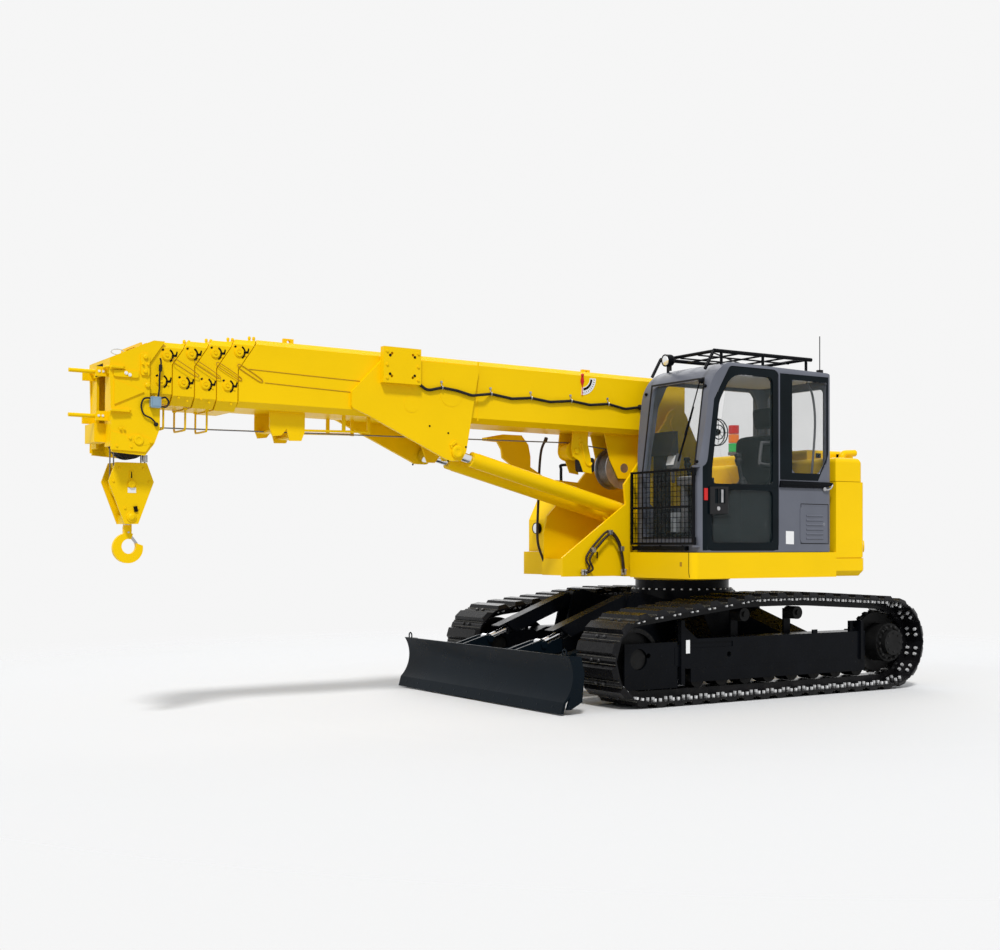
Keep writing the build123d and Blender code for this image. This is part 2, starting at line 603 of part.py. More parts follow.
def bracket_shape(side, nose):
    """Boom bracket: one big plate from the deck to the foot pin."""
    y = BRACKET_Y if side > 0 else -BRACKET_OUTER_Y
    tongue_x = UPPER_FRONT_X - SKIRT_WALL
    with BuildPart() as bracket:
        with BuildSketch(side_plane(y + BRACKET_PLATE)) as outline:
            with BuildLine():
                Polyline((-430, DECK_TOP_Z), (-330, 1330), (FOOT_X - 118, FOOT_Z + 20))
                ThreePointArc((FOOT_X - 118, FOOT_Z + 20), (FOOT_X, FOOT_Z + 122),
                              (FOOT_X + 118, FOOT_Z + 20))
                Polyline((FOOT_X + 118, FOOT_Z + 20), *nose, (tongue_x, DECK_BOTTOM_Z + 5),
                         (tongue_x, DECK_TOP_Z), (-430, DECK_TOP_Z))
            make_face()
        extrude(outline.sketch, amount=BRACKET_PLATE)
        if side < 0:
            # arm of the boom rest, with its pad
            plate(REST_ARM, y, y + BRACKET_PLATE)
            box(1710, 1880, y, y + 76, 2118, 2142)
        # foot pin boss and cylinder base boss on the outer face
        outer = y + BRACKET_PLATE if side > 0 else y - 14
        disc(FOOT_X, FOOT_Z, 80, outer, outer + 14)
        disc(CYL_BASE_X, CYL_BASE_Z, 66, outer, outer + 14)
        # stub pin into the boom foot and inner lug with stub for the cylinder
        inner = y - 56 if side > 0 else y + BRACKET_PLATE
        disc(FOOT_X, FOOT_Z, FOOT_PIN_R, inner, inner + 56)
        # pin through the eye of the luffing cylinder
        reach = BRACKET_Y - CYL_Y + EYE_WIDTH / 2 + 12
        pin_y = y - reach if side > 0 else y + BRACKET_PLATE
        disc(CYL_BASE_X, CYL_BASE_Z, CYL_PIN_R, pin_y, pin_y + reach)
    return bracket


def build_brackets():
    """Left and right boom bracket plates."""
    left_nose = [(900, 1750), (883, 1588), (1528, 1143), (1528, DECK_BOTTOM_Z + 5)]
    left = bracket_shape(1, left_nose)
    save(left, "bracket_left")
    right_nose = [(905, 1790), (1128, 1600), (1235, 1495), (1272, 1350),
                  (1272, DECK_BOTTOM_Z + 5)]
    right = bracket_shape(-1, right_nose)
    save(right, "bracket_right")


def build_skirt():
    """Yellow band round the lower edge of the upper structure, left and right."""
    with BuildPart() as skirt:
        for side in (-1, 1):
            low = SKIRT_INNER_Y if side > 0 else -UPPER_HALF_WIDTH
            high = UPPER_HALF_WIDTH if side > 0 else -SKIRT_INNER_Y
            corner = (UPPER_FRONT_X, side * UPPER_HALF_WIDTH)
            with BuildSketch(Plane.XY.offset(DECK_BOTTOM_Z - 5)) as band:
                with Locations(((SKIRT_REAR_X + UPPER_FRONT_X) / 2, (low + high) / 2)):
                    Rectangle(UPPER_FRONT_X - SKIRT_REAR_X, high - low)
                near = band.vertices().sort_by_distance(corner)[0]
                fillet(near, 60)
                with Locations(((SKIRT_REAR_X + UPPER_FRONT_X - SKIRT_WALL) / 2,
                                (low + high) / 2 - side * SKIRT_WALL / 2)):
                    Rectangle(UPPER_FRONT_X - SKIRT_REAR_X - SKIRT_WALL + 0.1,
                              high - low - SKIRT_WALL + 0.1, mode=Mode.SUBTRACT)
            extrude(band.sketch, amount=SKIRT_TOP_Z - DECK_BOTTOM_Z + 5)
    save(skirt, "skirt")


def tail_sketch(radius, half_width, front_x, z):
    """Plan outline of the tail: a circle about the slewing axis with flat sides."""
    with BuildSketch(Plane.XY.offset(z)) as tail:
        Circle(radius)
        with Locations(((front_x - radius - 100) / 2, 0)):
            Rectangle(front_x + radius + 100, 2 * half_width, mode=Mode.INTERSECT)
    return tail.sketch


def build_counterweight():
    """Curved cast weight round the tail, with a bevelled lower band."""
    with BuildPart() as weight:
        bottom = DECK_BOTTOM_Z
        joint = 1137
        extrude(tail_sketch(TAIL_R, UPPER_HALF_WIDTH, SKIRT_REAR_X, bottom + 45),
                amount=joint - bottom - 49)
        loft([tail_sketch(TAIL_R - 40, UPPER_HALF_WIDTH - 30, SKIRT_REAR_X, bottom),
              tail_sketch(TAIL_R, UPPER_HALF_WIDTH, SKIRT_REAR_X, bottom + 45)])
        extrude(tail_sketch(TAIL_R - 14, UPPER_HALF_WIDTH - 10, SKIRT_REAR_X, joint - 4), amount=8)
        extrude(tail_sketch(TAIL_R - 4, UPPER_HALF_WIDTH - 3, SKIRT_REAR_X, joint + 4),
                amount=WEIGHT_TOP_Z - joint - 4)
        cavity_r = TAIL_R - WEIGHT_WALL
        extrude(tail_sketch(cavity_r, UPPER_HALF_WIDTH - 150, SKIRT_REAR_X + 1, bottom - 1),
                amount=WEIGHT_TOP_Z - bottom + 2, mode=Mode.SUBTRACT)
    save(weight, "counterweight")


def build_hood():
    """Engine hood on top of the counterweight: thin shell with a raised centre."""
    with BuildPart() as hood:
        low = WEIGHT_TOP_Z + 4
        extrude(tail_sketch(TAIL_R - 20, UPPER_HALF_WIDTH - 8, SKIRT_REAR_X, low),
                amount=HOOD_TOP_Z - low)
        fillet(hood.edges().group_by(Axis.Z)[-1], 45)
        box(-1280, SKIRT_REAR_X - 60, -820, 820, HOOD_TOP_Z - 2, HUMP_TOP_Z)
        fillet(hood.edges().group_by(Axis.Z)[-1], 40)
        extrude(tail_sketch(TAIL_R - 20 - PANEL, UPPER_HALF_WIDTH - 8 - PANEL,
                            SKIRT_REAR_X - PANEL, low - 1),
                amount=HOOD_TOP_Z - low - PANEL + 1, mode=Mode.SUBTRACT)
        # bent exhaust outlet on the left of the lid
        with BuildLine() as pipe:
            route = FilletPolyline((-1075, 880, HOOD_TOP_Z - 30), (-1075, 880, HOOD_TOP_Z + 62),
                                   (-1235, 880, HOOD_TOP_Z + 72), radius=46)
        with BuildSketch(Plane(origin=route @ 0, z_dir=route % 0)) as bore:
            Circle(EXHAUST_R)
        sweep(bore.sketch, path=pipe.wires()[0])
        rod((-1160, 880, HOOD_TOP_Z + 67), (-1245, 880, HOOD_TOP_Z + 73), EXHAUST_R - 4,
            mode=Mode.SUBTRACT)
    save(hood, "rear_hood")

    with BuildPart() as engine:
        box(-1120, SKIRT_REAR_X - 40, -600, 600, DECK_TOP_Z, 1740)
    save(engine, "engine")


def build_right_housing():
    """Tank and cover body on the right side of the boom: hollow, closed panels."""
    x0 = SKIRT_REAR_X + 4
    x1 = UPPER_FRONT_X - 60
    y0 = -UPPER_HALF_WIDTH + 6
    y1 = -BRACKET_OUTER_Y - 60
    top = WEIGHT_TOP_Z
    profile = [(x0, SKIRT_TOP_Z + 2), (x1, SKIRT_TOP_Z + 2), (x1, 1480), (x1 - 120, top - 60),
               (x1 - 200, top), (x0, top)]
    inner = [(x0 + PANEL, SKIRT_TOP_Z + 2 + PANEL), (x1 - PANEL, SKIRT_TOP_Z + 2 + PANEL),
             (x1 - PANEL, 1474), (x1 - 134, top - 60 - PANEL), (x1 - 208, top - PANEL),
             (x0 + PANEL, top - PANEL)]
    with BuildPart() as housing:
        plate(profile, y0, y1)
        fillet(housing.edges().group_by(Axis.Y)[0], 45)
        plate(inner, y0 + PANEL, y1 - PANEL, mode=Mode.SUBTRACT)
    save(housing, "right_housing")

    # closed cover between the cab and the right body, behind the boom foot
    with BuildPart() as cover:
        box(SKIRT_REAR_X + 4, -160, 20 - BRACKET_Y, BRACKET_Y - 20, DECK_TOP_Z, WEIGHT_TOP_Z)
        fillet(cover.edges().group_by(Axis.Z)[-1], 35)
        plate([(-160, WEIGHT_TOP_Z - 300), (-290, WEIGHT_TOP_Z), (-100, WEIGHT_TOP_Z + 10)],
              -BRACKET_Y, BRACKET_Y, mode=Mode.SUBTRACT)
    save(cover, "centre_cover")


# ---------------------------------------------------------------- cab
def cab_body(inset):
    """Cab outline drawn in by an inset: side profile, plan and front view crossed."""
    front = CAB_FRONT_X - inset
    rear = CAB_REAR_X + inset
    left = CAB_LEFT_Y - inset
    right = CAB_RIGHT_Y + inset
    floor = CAB_FLOOR_Z + inset
    roof = CAB_ROOF_Z - inset
    corner = CAB_CORNER_R - inset * 0.7
    with BuildPart(mode=Mode.PRIVATE) as body:
        with BuildSketch(side_plane(left + 20)) as profile:
            with BuildLine():
                Polyline((front, floor), (front, 1850), (front - 82, 2440))
                screen_top = (front - 82, 2440)
                roof_start = (front - 330, roof)
                TangentArc(screen_top, roof_start, tangent=(-82, 590))
                Polyline(roof_start, (rear + 90, roof - 22))
                ThreePointArc((rear + 90, roof - 22), (rear + 22, roof - 46), (rear, roof - 110))
                Polyline((rear, roof - 110), (rear, floor), (front, floor))
            make_face()
        extrude(profile.sketch, amount=left - right + 40)
        with BuildSketch(Plane.XY.offset(floor)) as plan:
            with Locations(((front + rear) / 2, (left + right) / 2)):
                RectangleRounded(front - rear, left - right, corner)
        extrude(plan.sketch, amount=roof - floor, mode=Mode.INTERSECT)
        with BuildSketch(Plane.YZ.offset(rear)) as section:
            with Locations(((left + right) / 2, (floor + roof) / 2 - 94)):
                RectangleRounded(left - right, roof - floor + 212, corner)
        extrude(section.sketch, amount=front - rear, mode=Mode.INTERSECT)
    return body.part


def rounded_outline(points, radius):
    """Closed straight-sided outline with every corner rounded."""
    with BuildSketch(mode=Mode.PRIVATE) as outline:
        Polygon(*points, align=None)
        fillet(outline.vertices(), radius)
    return outline.sketch


DOOR_FRONT_X = CAB_FRONT_X - 62
DOOR_OUTLINE = [(DOOR_REAR_X, CAB_FLOOR_Z + 10), (DOOR_FRONT_X, CAB_FLOOR_Z + 10),
                (DOOR_FRONT_X, 1850), (DOOR_FRONT_X - 74, 2400), (DOOR_FRONT_X - 240, 2672),
                (DOOR_REAR_X, 2672)]
DOOR_UPPER_GLASS = [(66, 1728), (475, 1728), (610, 1960), (628, 2090), (560, 2480), (470, 2606),
                    (66, 2606)]
DOOR_LOWER_GLASS = [(66, 1268), (688, 1268), (688, 1480), (480, 1690), (66, 1690)]
SIDE_GLASS = [(-546, 1930), (-470, 1838), (-145, 1838), (-145, 2606), (-546, 2606)]
REAR_GLASS = [(465, 1838), (1130, 1838), (1130, 2560), (465, 2560)]
RIGHT_GLASS = [(-500, 1560), (690, 1560), (690, 1850), (600, 2400), (500, 2590), (-500, 2590)]
SCREEN_GLASS = [(496, 1310), (1139, 1310), (1139, 2560), (496, 2560)]


def window(points, plane, depth, radius=45):
    """Rounded window cutter through one wall."""
    with BuildPart(mode=Mode.PRIVATE) as cutter:
        with BuildSketch(plane) as opening:
            add(rounded_outline(points, radius))
        extrude(opening.sketch, amount=depth)
    return cutter.part


def cab_windows():
    """Cutters of every window, by the wall that it is in."""
    left = side_plane(CAB_LEFT_Y + 40)
    right = side_plane(CAB_RIGHT_Y + 80)
    rear = Plane(origin=(CAB_REAR_X - 40, 0, 0), x_dir=(0, 1, 0), z_dir=(1, 0, 0))
    front = Plane(origin=(CAB_FRONT_X - 260, 0, 0), x_dir=(0, 1, 0), z_dir=(1, 0, 0))
    return {
        "door": [window(DOOR_UPPER_GLASS, left, 120), window(DOOR_LOWER_GLASS, left, 120)],
        "left": [window(SIDE_GLASS, left, 120)],
        "right": [window(RIGHT_GLASS, right, 120, 60)],
        "rear": [window(REAR_GLASS, rear, 120)],
        "front": [window(SCREEN_GLASS, front, 320)],
    }


def vent_panel(x0):
    """Raised panel with pressed louvres on the lower rear of the cab's left side."""
    x1, z0, z1 = -235, 1263, 1567
    with BuildSketch(side_plane(CAB_LEFT_Y + 4)) as panel:
        with Locations(((x0 + x1) / 2, (z0 + z1) / 2)):
            RectangleRounded(x1 - x0, z1 - z0, 34)
    extrude(panel.sketch, amount=8)
    for number in range(LOUVRE_COUNT):
        z = z0 + 37 + LOUVRE_PITCH * number
        rod((-494, CAB_LEFT_Y + 1, z), (-304, CAB_LEFT_Y + 1, z), 9)


def guard_hinges():
    """Brackets and pins on the cab's front post that carry the front guard."""
    for z, way in ((GUARD_LOW_Z + 20, -1), (GUARD_HIGH_Z - 20, 1)):
        low = z + way * 42.5 - 7.5
        box(CAB_FRONT_X - CAB_WALL, GUARD_X + 14, GUARD_HINGE_Y - 16, GUARD_HINGE_Y + 16,
            low, low + 15)
        with Locations((GUARD_X, GUARD_HINGE_Y, z + way * 6)):
            Cylinder(GUARD_PIN_R, 68)


def build_cab():
    """Hollow cab split where its panels meet, the door, and the glass."""
    shell = cab_body(0) - cab_body(CAB_WALL)
    windows = cab_windows()
    far = 400
    floor_top = CAB_FLOOR_Z + CAB_WALL
    roof_low = CAB_ROOF_Z - CAB_CORNER_R
    post_x = DOOR_FRONT_X
    side_y = CAB_LEFT_Y - CAB_CORNER_R
    inner_y = CAB_RIGHT_Y + CAB_CORNER_R
    rear_x = CAB_REAR_X + CAB_CORNER_R
    left_in = CAB_LEFT_Y - CAB_WALL
    whole_y = (0, 2000)
    walls = (floor_top, roof_low)
    sill = (left_in, 2000, CAB_FLOOR_Z - 1, floor_top)
    zones = {
        "cab_floor": [(CAB_REAR_X - far, CAB_FRONT_X + far, 0, left_in, CAB_FLOOR_Z - 1,
                       floor_top)],
        "cab_roof": [(CAB_REAR_X - far, CAB_FRONT_X + far, *whole_y, roof_low, CAB_ROOF_Z + 50)],
        "cab_front": [(post_x, CAB_FRONT_X + far, *whole_y, *walls),
                      (post_x - far, post_x, inner_y, side_y, *walls),
                      (post_x, CAB_FRONT_X + far, *sill)],
        "cab_rear": [(CAB_REAR_X - far, rear_x, *whole_y, *walls),
                     (CAB_REAR_X - far, rear_x, *sill)],
        "cab_left": [(rear_x, post_x, side_y, 2000, *walls), (rear_x, post_x, *sill)],
        "cab_right": [(rear_x, post_x, 0, inner_y, *walls)],
    }
    for name, boxes in zones.items():
        with BuildPart(mode=Mode.PRIVATE) as zone:
            for corners in boxes:
                box(*corners)
        with BuildPart() as panel:
            add(shell)
            add(zone.part, mode=Mode.INTERSECT)
            if name in ("cab_left", "cab_roof"):
                with BuildSketch(side_plane(CAB_LEFT_Y + 40)) as opening:
                    add(rounded_outline(DOOR_OUTLINE, 60))
                extrude(opening.sketch, amount=40 + CAB_CORNER_R, mode=Mode.SUBTRACT)
            for kind in ("left", "right", "rear", "front"):
                for cutter in windows[kind]:
                    add(cutter, mode=Mode.SUBTRACT)
            if name == "cab_left":
                vent_panel(rear_x + 3)
            if name == "cab_front":
                guard_hinges()
        save(panel, name)

    with BuildPart() as door:
        add(shell)
        with BuildSketch(side_plane(CAB_LEFT_Y + 40)) as leaf:
            add(rounded_outline(DOOR_OUTLINE, 60))
            offset(amount=-DOOR_GAP, kind=Kind.INTERSECTION, mode=Mode.REPLACE)
        extrude(leaf.sketch, amount=40 + CAB_WALL, mode=Mode.INTERSECT)
        for cutter in windows["door"]:
            add(cutter, mode=Mode.SUBTRACT)
        # grab handle and latch housing at the front of the leaf
        box(560, 745, CAB_LEFT_Y - 6, CAB_LEFT_Y + 12, 1495, 1700)
    save(door, "cab_door")

    middle = CAB_WALL / 2
    layer = cab_body(middle - GLASS / 2) - cab_body(middle + GLASS / 2)
    with BuildPart() as glass:
        for kind in windows:
            for cutter in windows[kind]:
                add(layer & cutter)
    save(glass, "cab_glass")


def build_cab_inside():
    """Operator's seat, side consoles with levers, pedals stand and monitor."""
    seat_x = 40
    seat_y = (CAB_LEFT_Y + CAB_RIGHT_Y) / 2
    floor_z = CAB_FLOOR_Z + CAB_WALL
    with BuildPart() as seat:
        box(seat_x - 180, seat_x + 180, seat_y - 170, seat_y + 170, floor_z, floor_z + 250)
        box(seat_x - 230, seat_x + 260, seat_y - 240, seat_y + 240, floor_z + 250, floor_z + 360)
        fillet(seat.edges().group_by(Axis.Z)[-1], 30)
        plate([(seat_x - 230, floor_z + 340), (seat_x - 120, floor_z + 340),
               (seat_x - 240, floor_z + 950), (seat_x - 340, floor_z + 950)],
              seat_y - 230, seat_y + 230)
        plate([(seat_x - 270, floor_z + 950), (seat_x - 290, floor_z + 950),
               (seat_x - 300, floor_z + 1010), (seat_x - 280, floor_z + 1010)],
              seat_y - 60, seat_y + 60)
        plate([(seat_x - 240, floor_z + 1010), (seat_x - 330, floor_z + 1010),
               (seat_x - 345, floor_z + 1180), (seat_x - 262, floor_z + 1180)],
              seat_y - 130, seat_y + 130)
    save(seat, "seat")

    with BuildPart() as consoles:
        for side in (-1, 1):
            y = seat_y + side * 315
            box(seat_x - 260, seat_x + 330, y - 62, y + 62, floor_z, floor_z + 480)
            box(seat_x + 200, seat_x + 330, y - 50, y + 50, floor_z + 480, floor_z + 520)
            rod((seat_x + 260, y, floor_z + 500), (seat_x + 300, y, floor_z + 690), 16)
            with Locations((seat_x + 303, y, floor_z + 705)):
                Sphere(30)
        # front console with the load monitor
        box(610, 680, CAB_RIGHT_Y + 70, CAB_RIGHT_Y + 210, floor_z, floor_z + 760)
        plate([(600, floor_z + 760), (690, floor_z + 760), (650, floor_z + 960),
               (610, floor_z + 960)], CAB_RIGHT_Y + 50, CAB_RIGHT_Y + 300)
        # pedals
        for y in (seat_y - 110, seat_y + 20):
            plate([(625, floor_z), (665, floor_z), (745, floor_z + 120), (715, floor_z + 130)],
                  y, y + 90)
    save(consoles, "consoles")


def build_cab_fittings():
    """Roof guard rail, work lamp and aerial on the roof."""
    roof = CAB_ROOF_Z - 2
    rail = 16
    x0, x1 = CAB_REAR_X + 190, CAB_FRONT_X - 210
    y0, y1 = CAB_RIGHT_Y + 90, CAB_LEFT_Y - 90
    with BuildPart() as rails:
        top = roof + 92
        for y in (y0, y1):
            rod((x0 - 20, y, top), (x1, y, top), rail)
            for x in (x0 + 40, (x0 + x1) / 2, x1 - 80):
                rod((x, y, roof - 60), (x, y, top), rail - 4)
            rod((x1, y, top), (x1 + 90, y, roof - 60), rail - 3)
        for x in (x0 + 30, x1 - 20):
            rod((x, y0, top), (x, y1, top), rail - 2)
        add(cab_body(0), mode=Mode.SUBTRACT)
    save(rails, "roof_guard")

    with BuildPart() as fittings:
        # work lamp at the front of the roof
        box(x1 + 20, x1 + 36, y0 + 130, y0 + 170, roof - 20, roof + 40)
        rod((x1 + 10, y0 + 150, roof + 70), (x1 + 70, y0 + 150, roof + 64), 46)
        # aerial on the rear left corner
        box(CAB_REAR_X + 40, CAB_REAR_X + 80, CAB_LEFT_Y - 120, CAB_LEFT_Y - 80, roof - 40,
            roof + 16)
        rod((CAB_REAR_X + 60, CAB_LEFT_Y - 100, roof), (CAB_REAR_X + 60, CAB_LEFT_Y - 100,
            roof + 300), 4)
        add(cab_body(0), mode=Mode.SUBTRACT)
    save(fittings, "roof_fittings")


def build_front_guard():
    """Hinged wire guard over the lower windscreen."""
    x = GUARD_X
    y0 = CAB_RIGHT_Y + 4
    y1 = GUARD_HINGE_Y - 18
    z0, z1 = GUARD_LOW_Z, GUARD_HIGH_Z
    bar = 9
    with BuildPart() as guard:
        for z in (z0, (z0 + z1) / 2, z1):
            box(x - bar, x + bar, y0, y1, z - bar, z + bar)
        for y in (y0, y1):
            box(x - bar, x + bar, y - bar, y + bar, z0 - bar, z1 + bar)
        pitch_y = (y1 - y0) / 16
        for number in range(1, 16):
            y = y0 + pitch_y * number
            box(x + 1, x + 5, y - 2, y + 2, z0, z1)
        pitch_z = (z1 - z0) / 14
        for number in range(1, 14):
            if number != 7:
                z = z0 + pitch_z * number
                box(x - 4, x + 0.5, y0, y1, z - 2, z + 2)
        for z in (z0 + 20, z1 - 20):
            with Locations((x, GUARD_HINGE_Y, z)):
                Cylinder(GUARD_HINGE_R, 60)
                Cylinder(GUARD_PIN_R + PIN_PLAY, 70, mode=Mode.SUBTRACT)
    save(guard, "front_guard")


# ---------------------------------------------------------------- boom
def section_half(number):
    """Half-width, bottom and top of boom section 1 (base) to 6 (tip)."""
    inset = number - 1
    return (BOOM_HALF_WIDTH - SECTION_SIDE_STEP * inset,
            BOOM_BOTTOM + SECTION_HEIGHT_STEP * inset,
            BOOM_TOP - SECTION_HEIGHT_STEP * inset)


def section_sketch(number, inset=0.0):
    """Cross-section of a boom section with chamfered corners, drawn in by an inset."""
    half, bottom, top = section_half(number)
    half -= inset
    bottom += inset
    top -= inset
    cut = BOOM_CHAMFER - inset * 0.4
    with BuildSketch(mode=Mode.PRIVATE) as outline:
        Polygon((-half, bottom + cut), (-half + cut * 1.3, bottom), (half - cut * 1.3, bottom),
                (half, bottom + cut), (half, top - cut), (half - cut * 1.3, top),
                (-half + cut * 1.3, top), (-half, top - cut), align=None)
    return outline.sketch


def section_outline(s, number, inset=0.0):
    """The cross-section placed at a station of the boom."""
    with BuildSketch(boom_cross(s)) as outline:
        add(section_sketch(number, inset))
    return outline.sketch


def tube(number, start, end):
    """Hollow boom section between two stations."""
    extrude(section_outline(start, number), amount=end - start)
    extrude(section_outline(start - 1, number, BOOM_WALL), amount=end - start + 2,
            mode=Mode.SUBTRACT)


def front_edge(line):
    """Knee-shaped edge of a collar or of the base section's front end."""
    return [(line, BOOM_TOP + 60), (line, BOOM_TOP), (line + COLLAR_SLANT, COLLAR_KNEE),
            (line + COLLAR_SLANT, BOOM_BOTTOM - 120)]


def edge_at(line, t):
    """Station of a slanted front edge at height t."""
    share = (BOOM_TOP - t) / (BOOM_TOP - COLLAR_KNEE)
    return line + COLLAR_SLANT * min(max(share, 0), 1)


def build_boom_base():
    """Base section with foot bosses, rope guide, brackets and winch plates."""
    with BuildPart() as base:
        extrude(section_outline(BOOM_REAR, 1), amount=COLLAR_LINE + COLLAR_SLANT - BOOM_REAR)
        extrude(section_outline(BOOM_REAR + 40, 1, BOOM_WALL), amount=6000, mode=Mode.SUBTRACT)
        edge = front_edge(COLLAR_LINE)
        plate(edge + [(5000, BOOM_BOTTOM - 120), (5000, BOOM_TOP + 60)], -300, 300,
              plane=boom_side, mode=Mode.SUBTRACT)
        # foot bosses that turn on the stub pins
        for y in (-BRACKET_Y + 5, BOOM_HALF_WIDTH - 1):
            boss_disc(0, 0, 76, y, y + BRACKET_Y - BOOM_HALF_WIDTH - 4)
            boss_disc(0, 0, FOOT_PIN_R + PIN_PLAY, y - 2, y + 60, mode=Mode.SUBTRACT)
        # lifting lugs on the top
        for s, height in ((3455, 62), (735, 50)):
            boom_block(s - 40, s + 40, -14, 14, BOOM_TOP - 2, BOOM_TOP + height)
            boss_disc(s, BOOM_TOP + height - 24, 14, -20, 20, mode=Mode.SUBTRACT)
        # rope roller bracket under the section
        for y in (-102, 90):
            plate([(773, BOOM_BOTTOM + 4), (926, BOOM_BOTTOM + 4), (940, -250), (925, -315),
                   (862, -345), (820, -440), (730, -452), (745, -310), (773, -210)],
                  y, y + 12, plane=boom_side)
        boss_disc(ROLLER_S, ROLLER_T, 68, -54, 54)
        for y in (-62, 50):
            boss_disc(ROLLER_S, ROLLER_T, 76, y, y + 12)
        boss_disc(ROLLER_S, ROLLER_T, 22, -112, 112)
        # hose tray under the section and the bar behind it
        for y in (-TRAY_Y - 14, TRAY_Y):
            plate([(3655, BOOM_BOTTOM + 4), (3655, -232), (3630, -294), (3560, -285),
                   (3520, -236), (3496, -322), (3402, -318), (3377, -250),
                   (3377, BOOM_BOTTOM + 4)], y, y + 14, plane=boom_side)
            for s0 in (2838, 3045):
                boom_block(s0, s0 + 26, y, y + 14, -234, BOOM_BOTTOM + 4)
            rod(boom_xz(2842, y + 7, -222), boom_xz(3385, y + 7, -240), 9)
        boom_block(3415, 3485, -TRAY_Y, TRAY_Y, -300, -288)
        boom_block(3570, 3640, -TRAY_Y, TRAY_Y, -262, -250)
    save(base, "boom_base")


def boss_disc(s, t, radius, y0, y1, mode=Mode.ADD):
    """Round solid on a crosswise axis placed in boom coordinates."""
    x, z = boom_point(s, t)
    disc(x, z, radius, y0, y1, mode=mode)


def boom_block(s0, s1, y0, y1, t0, t1, mode=Mode.ADD):
    """Block aligned with the boom."""
    plate([(s0, t0), (s1, t0), (s1, t1), (s0, t1)], y0, y1, plane=boom_side, mode=mode)


def build_winch():
    """Plates that hang the winch under the base section, and its drum."""
    x, z = boom_point(WINCH_S, WINCH_T)
    with BuildPart() as frame:
        for y in (-104, 92):
            plate([(WINCH_S - 210, BOOM_BOTTOM), (WINCH_S + 210, BOOM_BOTTOM),
                   (WINCH_S + 150, WINCH_T + 60), (WINCH_S + 60, WINCH_T - 90),
                   (WINCH_S - 60, WINCH_T - 90), (WINCH_S - 150, WINCH_T + 60)],
                  y, y + 12, plane=boom_side)
            boss_disc(WINCH_S, WINCH_T, 40.5, y - 1, y + 13, mode=Mode.SUBTRACT)
    save(frame, "winch_plates")

    with BuildPart() as drum:
        disc(x, z, DRUM_R, -DRUM_HALF, DRUM_HALF)
        for y in (-DRUM_HALF - 10, DRUM_HALF):
            disc(x, z, FLANGE_R, y, y + 10)
        disc(x, z, 40, -104, 104)
    save(drum, "winch_drum")


def build_fork_plates():
    """Doubler plates that carry the rod pins of the luffing cylinders."""
    s0, t0 = ROD_PIN_S, ROD_PIN_T
    with BuildPart() as fork:
        for side in (-1, 1):
            y = BOOM_HALF_WIDTH if side > 0 else -BOOM_HALF_WIDTH - FORK_PLATE
            with BuildSketch(boom_side(y + FORK_PLATE)) as outline:
                Polygon((s0 + 905, -60), (s0 + 760, -112), (s0 + 70, t0 - 72),
                        (s0 - 40, t0 - 72), (s0 - 86, t0 + 4), (s0 - 200, 330),
                        (s0 + 640, 330), (s0 + 905, 60), align=None)
                fillet(outline.vertices(), 30)
            extrude(outline.sketch, amount=FORK_PLATE)
            inner = CYL_Y - EYE_WIDTH / 2 - 22
            y_in = inner if side > 0 else -inner - 16
            plate([(s0 + 160, BOOM_BOTTOM), (s0 - 150, BOOM_BOTTOM), (s0 - 74, t0 - 10),
                   (s0 - 30, t0 - 66), (s0 + 40, t0 - 66)], y_in, y_in + 16, plane=boom_side)
            boss_y = y + FORK_PLATE if side > 0 else y - 16
            boss_disc(s0, t0, 52, boss_y, boss_y + 16)
            for s1, t1, radius in ((2210, 100, 100), (2560, 0, 66)):
                boss_disc(s1, t1, radius, y - 2 if side < 0 else y, y + FORK_PLATE + 2
                          if side > 0 else y + FORK_PLATE)
    save(fork, "fork_plates")

    # thick bolting plates on both sides of the boom
    with BuildPart() as pads:
        for side in (-1, 1):
            y = BOOM_HALF_WIDTH + FORK_PLATE if side > 0 else -BOOM_HALF_WIDTH - FORK_PLATE - 55
            boom_block(2510, 2828, y, y + 55, 140, 410)
            for s in (2580, 2758):
                for t in (190, 360):
                    boss_disc(s, t, 11, y - 1, y + 56, mode=Mode.SUBTRACT)
    save(pads, "bolting_plates")


def build_luff_cylinders():
    """Twin luffing cylinders: barrels on the upper structure, rods to the boom."""
    pin_x, pin_z = boom_point(ROD_PIN_S, ROD_PIN_T)
    base = Vector(CYL_BASE_X, 0, CYL_BASE_Z)
    tip = Vector(pin_x, 0, pin_z)
    along = (tip - base).normalized()
    length = (tip - base).length
    gland = length - 190
    rod_start = gland - LUFF_STROKE - 60
    with BuildPart() as barrels:
        for side in (-1, 1):
            across = Vector(0, side * CYL_Y, 0)
            y0 = side * CYL_Y - EYE_WIDTH / 2
            disc(CYL_BASE_X, CYL_BASE_Z, 60, y0, y0 + EYE_WIDTH)
            rod(base + across, base + along * gland + across, CYL_R - 2)
            rod(base + along * 70 + across, base + along * (gland - 60) + across, CYL_R)
            disc(CYL_BASE_X, CYL_BASE_Z, CYL_PIN_R + PIN_PLAY, y0 - 60, y0 + EYE_WIDTH + 60,
                 mode=Mode.SUBTRACT)
            rod(base + along * (rod_start - 20) + across, base + along * (gland + 5) + across,
                ROD_R + ROD_PLAY, mode=Mode.SUBTRACT)
    save(barrels, "luff_barrels")

    with BuildPart() as rods:
        for side in (-1, 1):
            across = Vector(0, side * CYL_Y, 0)
            y0 = side * CYL_Y - EYE_WIDTH / 2
            rod(base + along * rod_start + across, tip - along * 40 + across, ROD_R)
            disc(pin_x, pin_z, 60, y0, y0 + EYE_WIDTH)
            disc(pin_x, pin_z, 30, y0, y0 + EYE_WIDTH, mode=Mode.SUBTRACT)
    save(rods, "luff_rods")


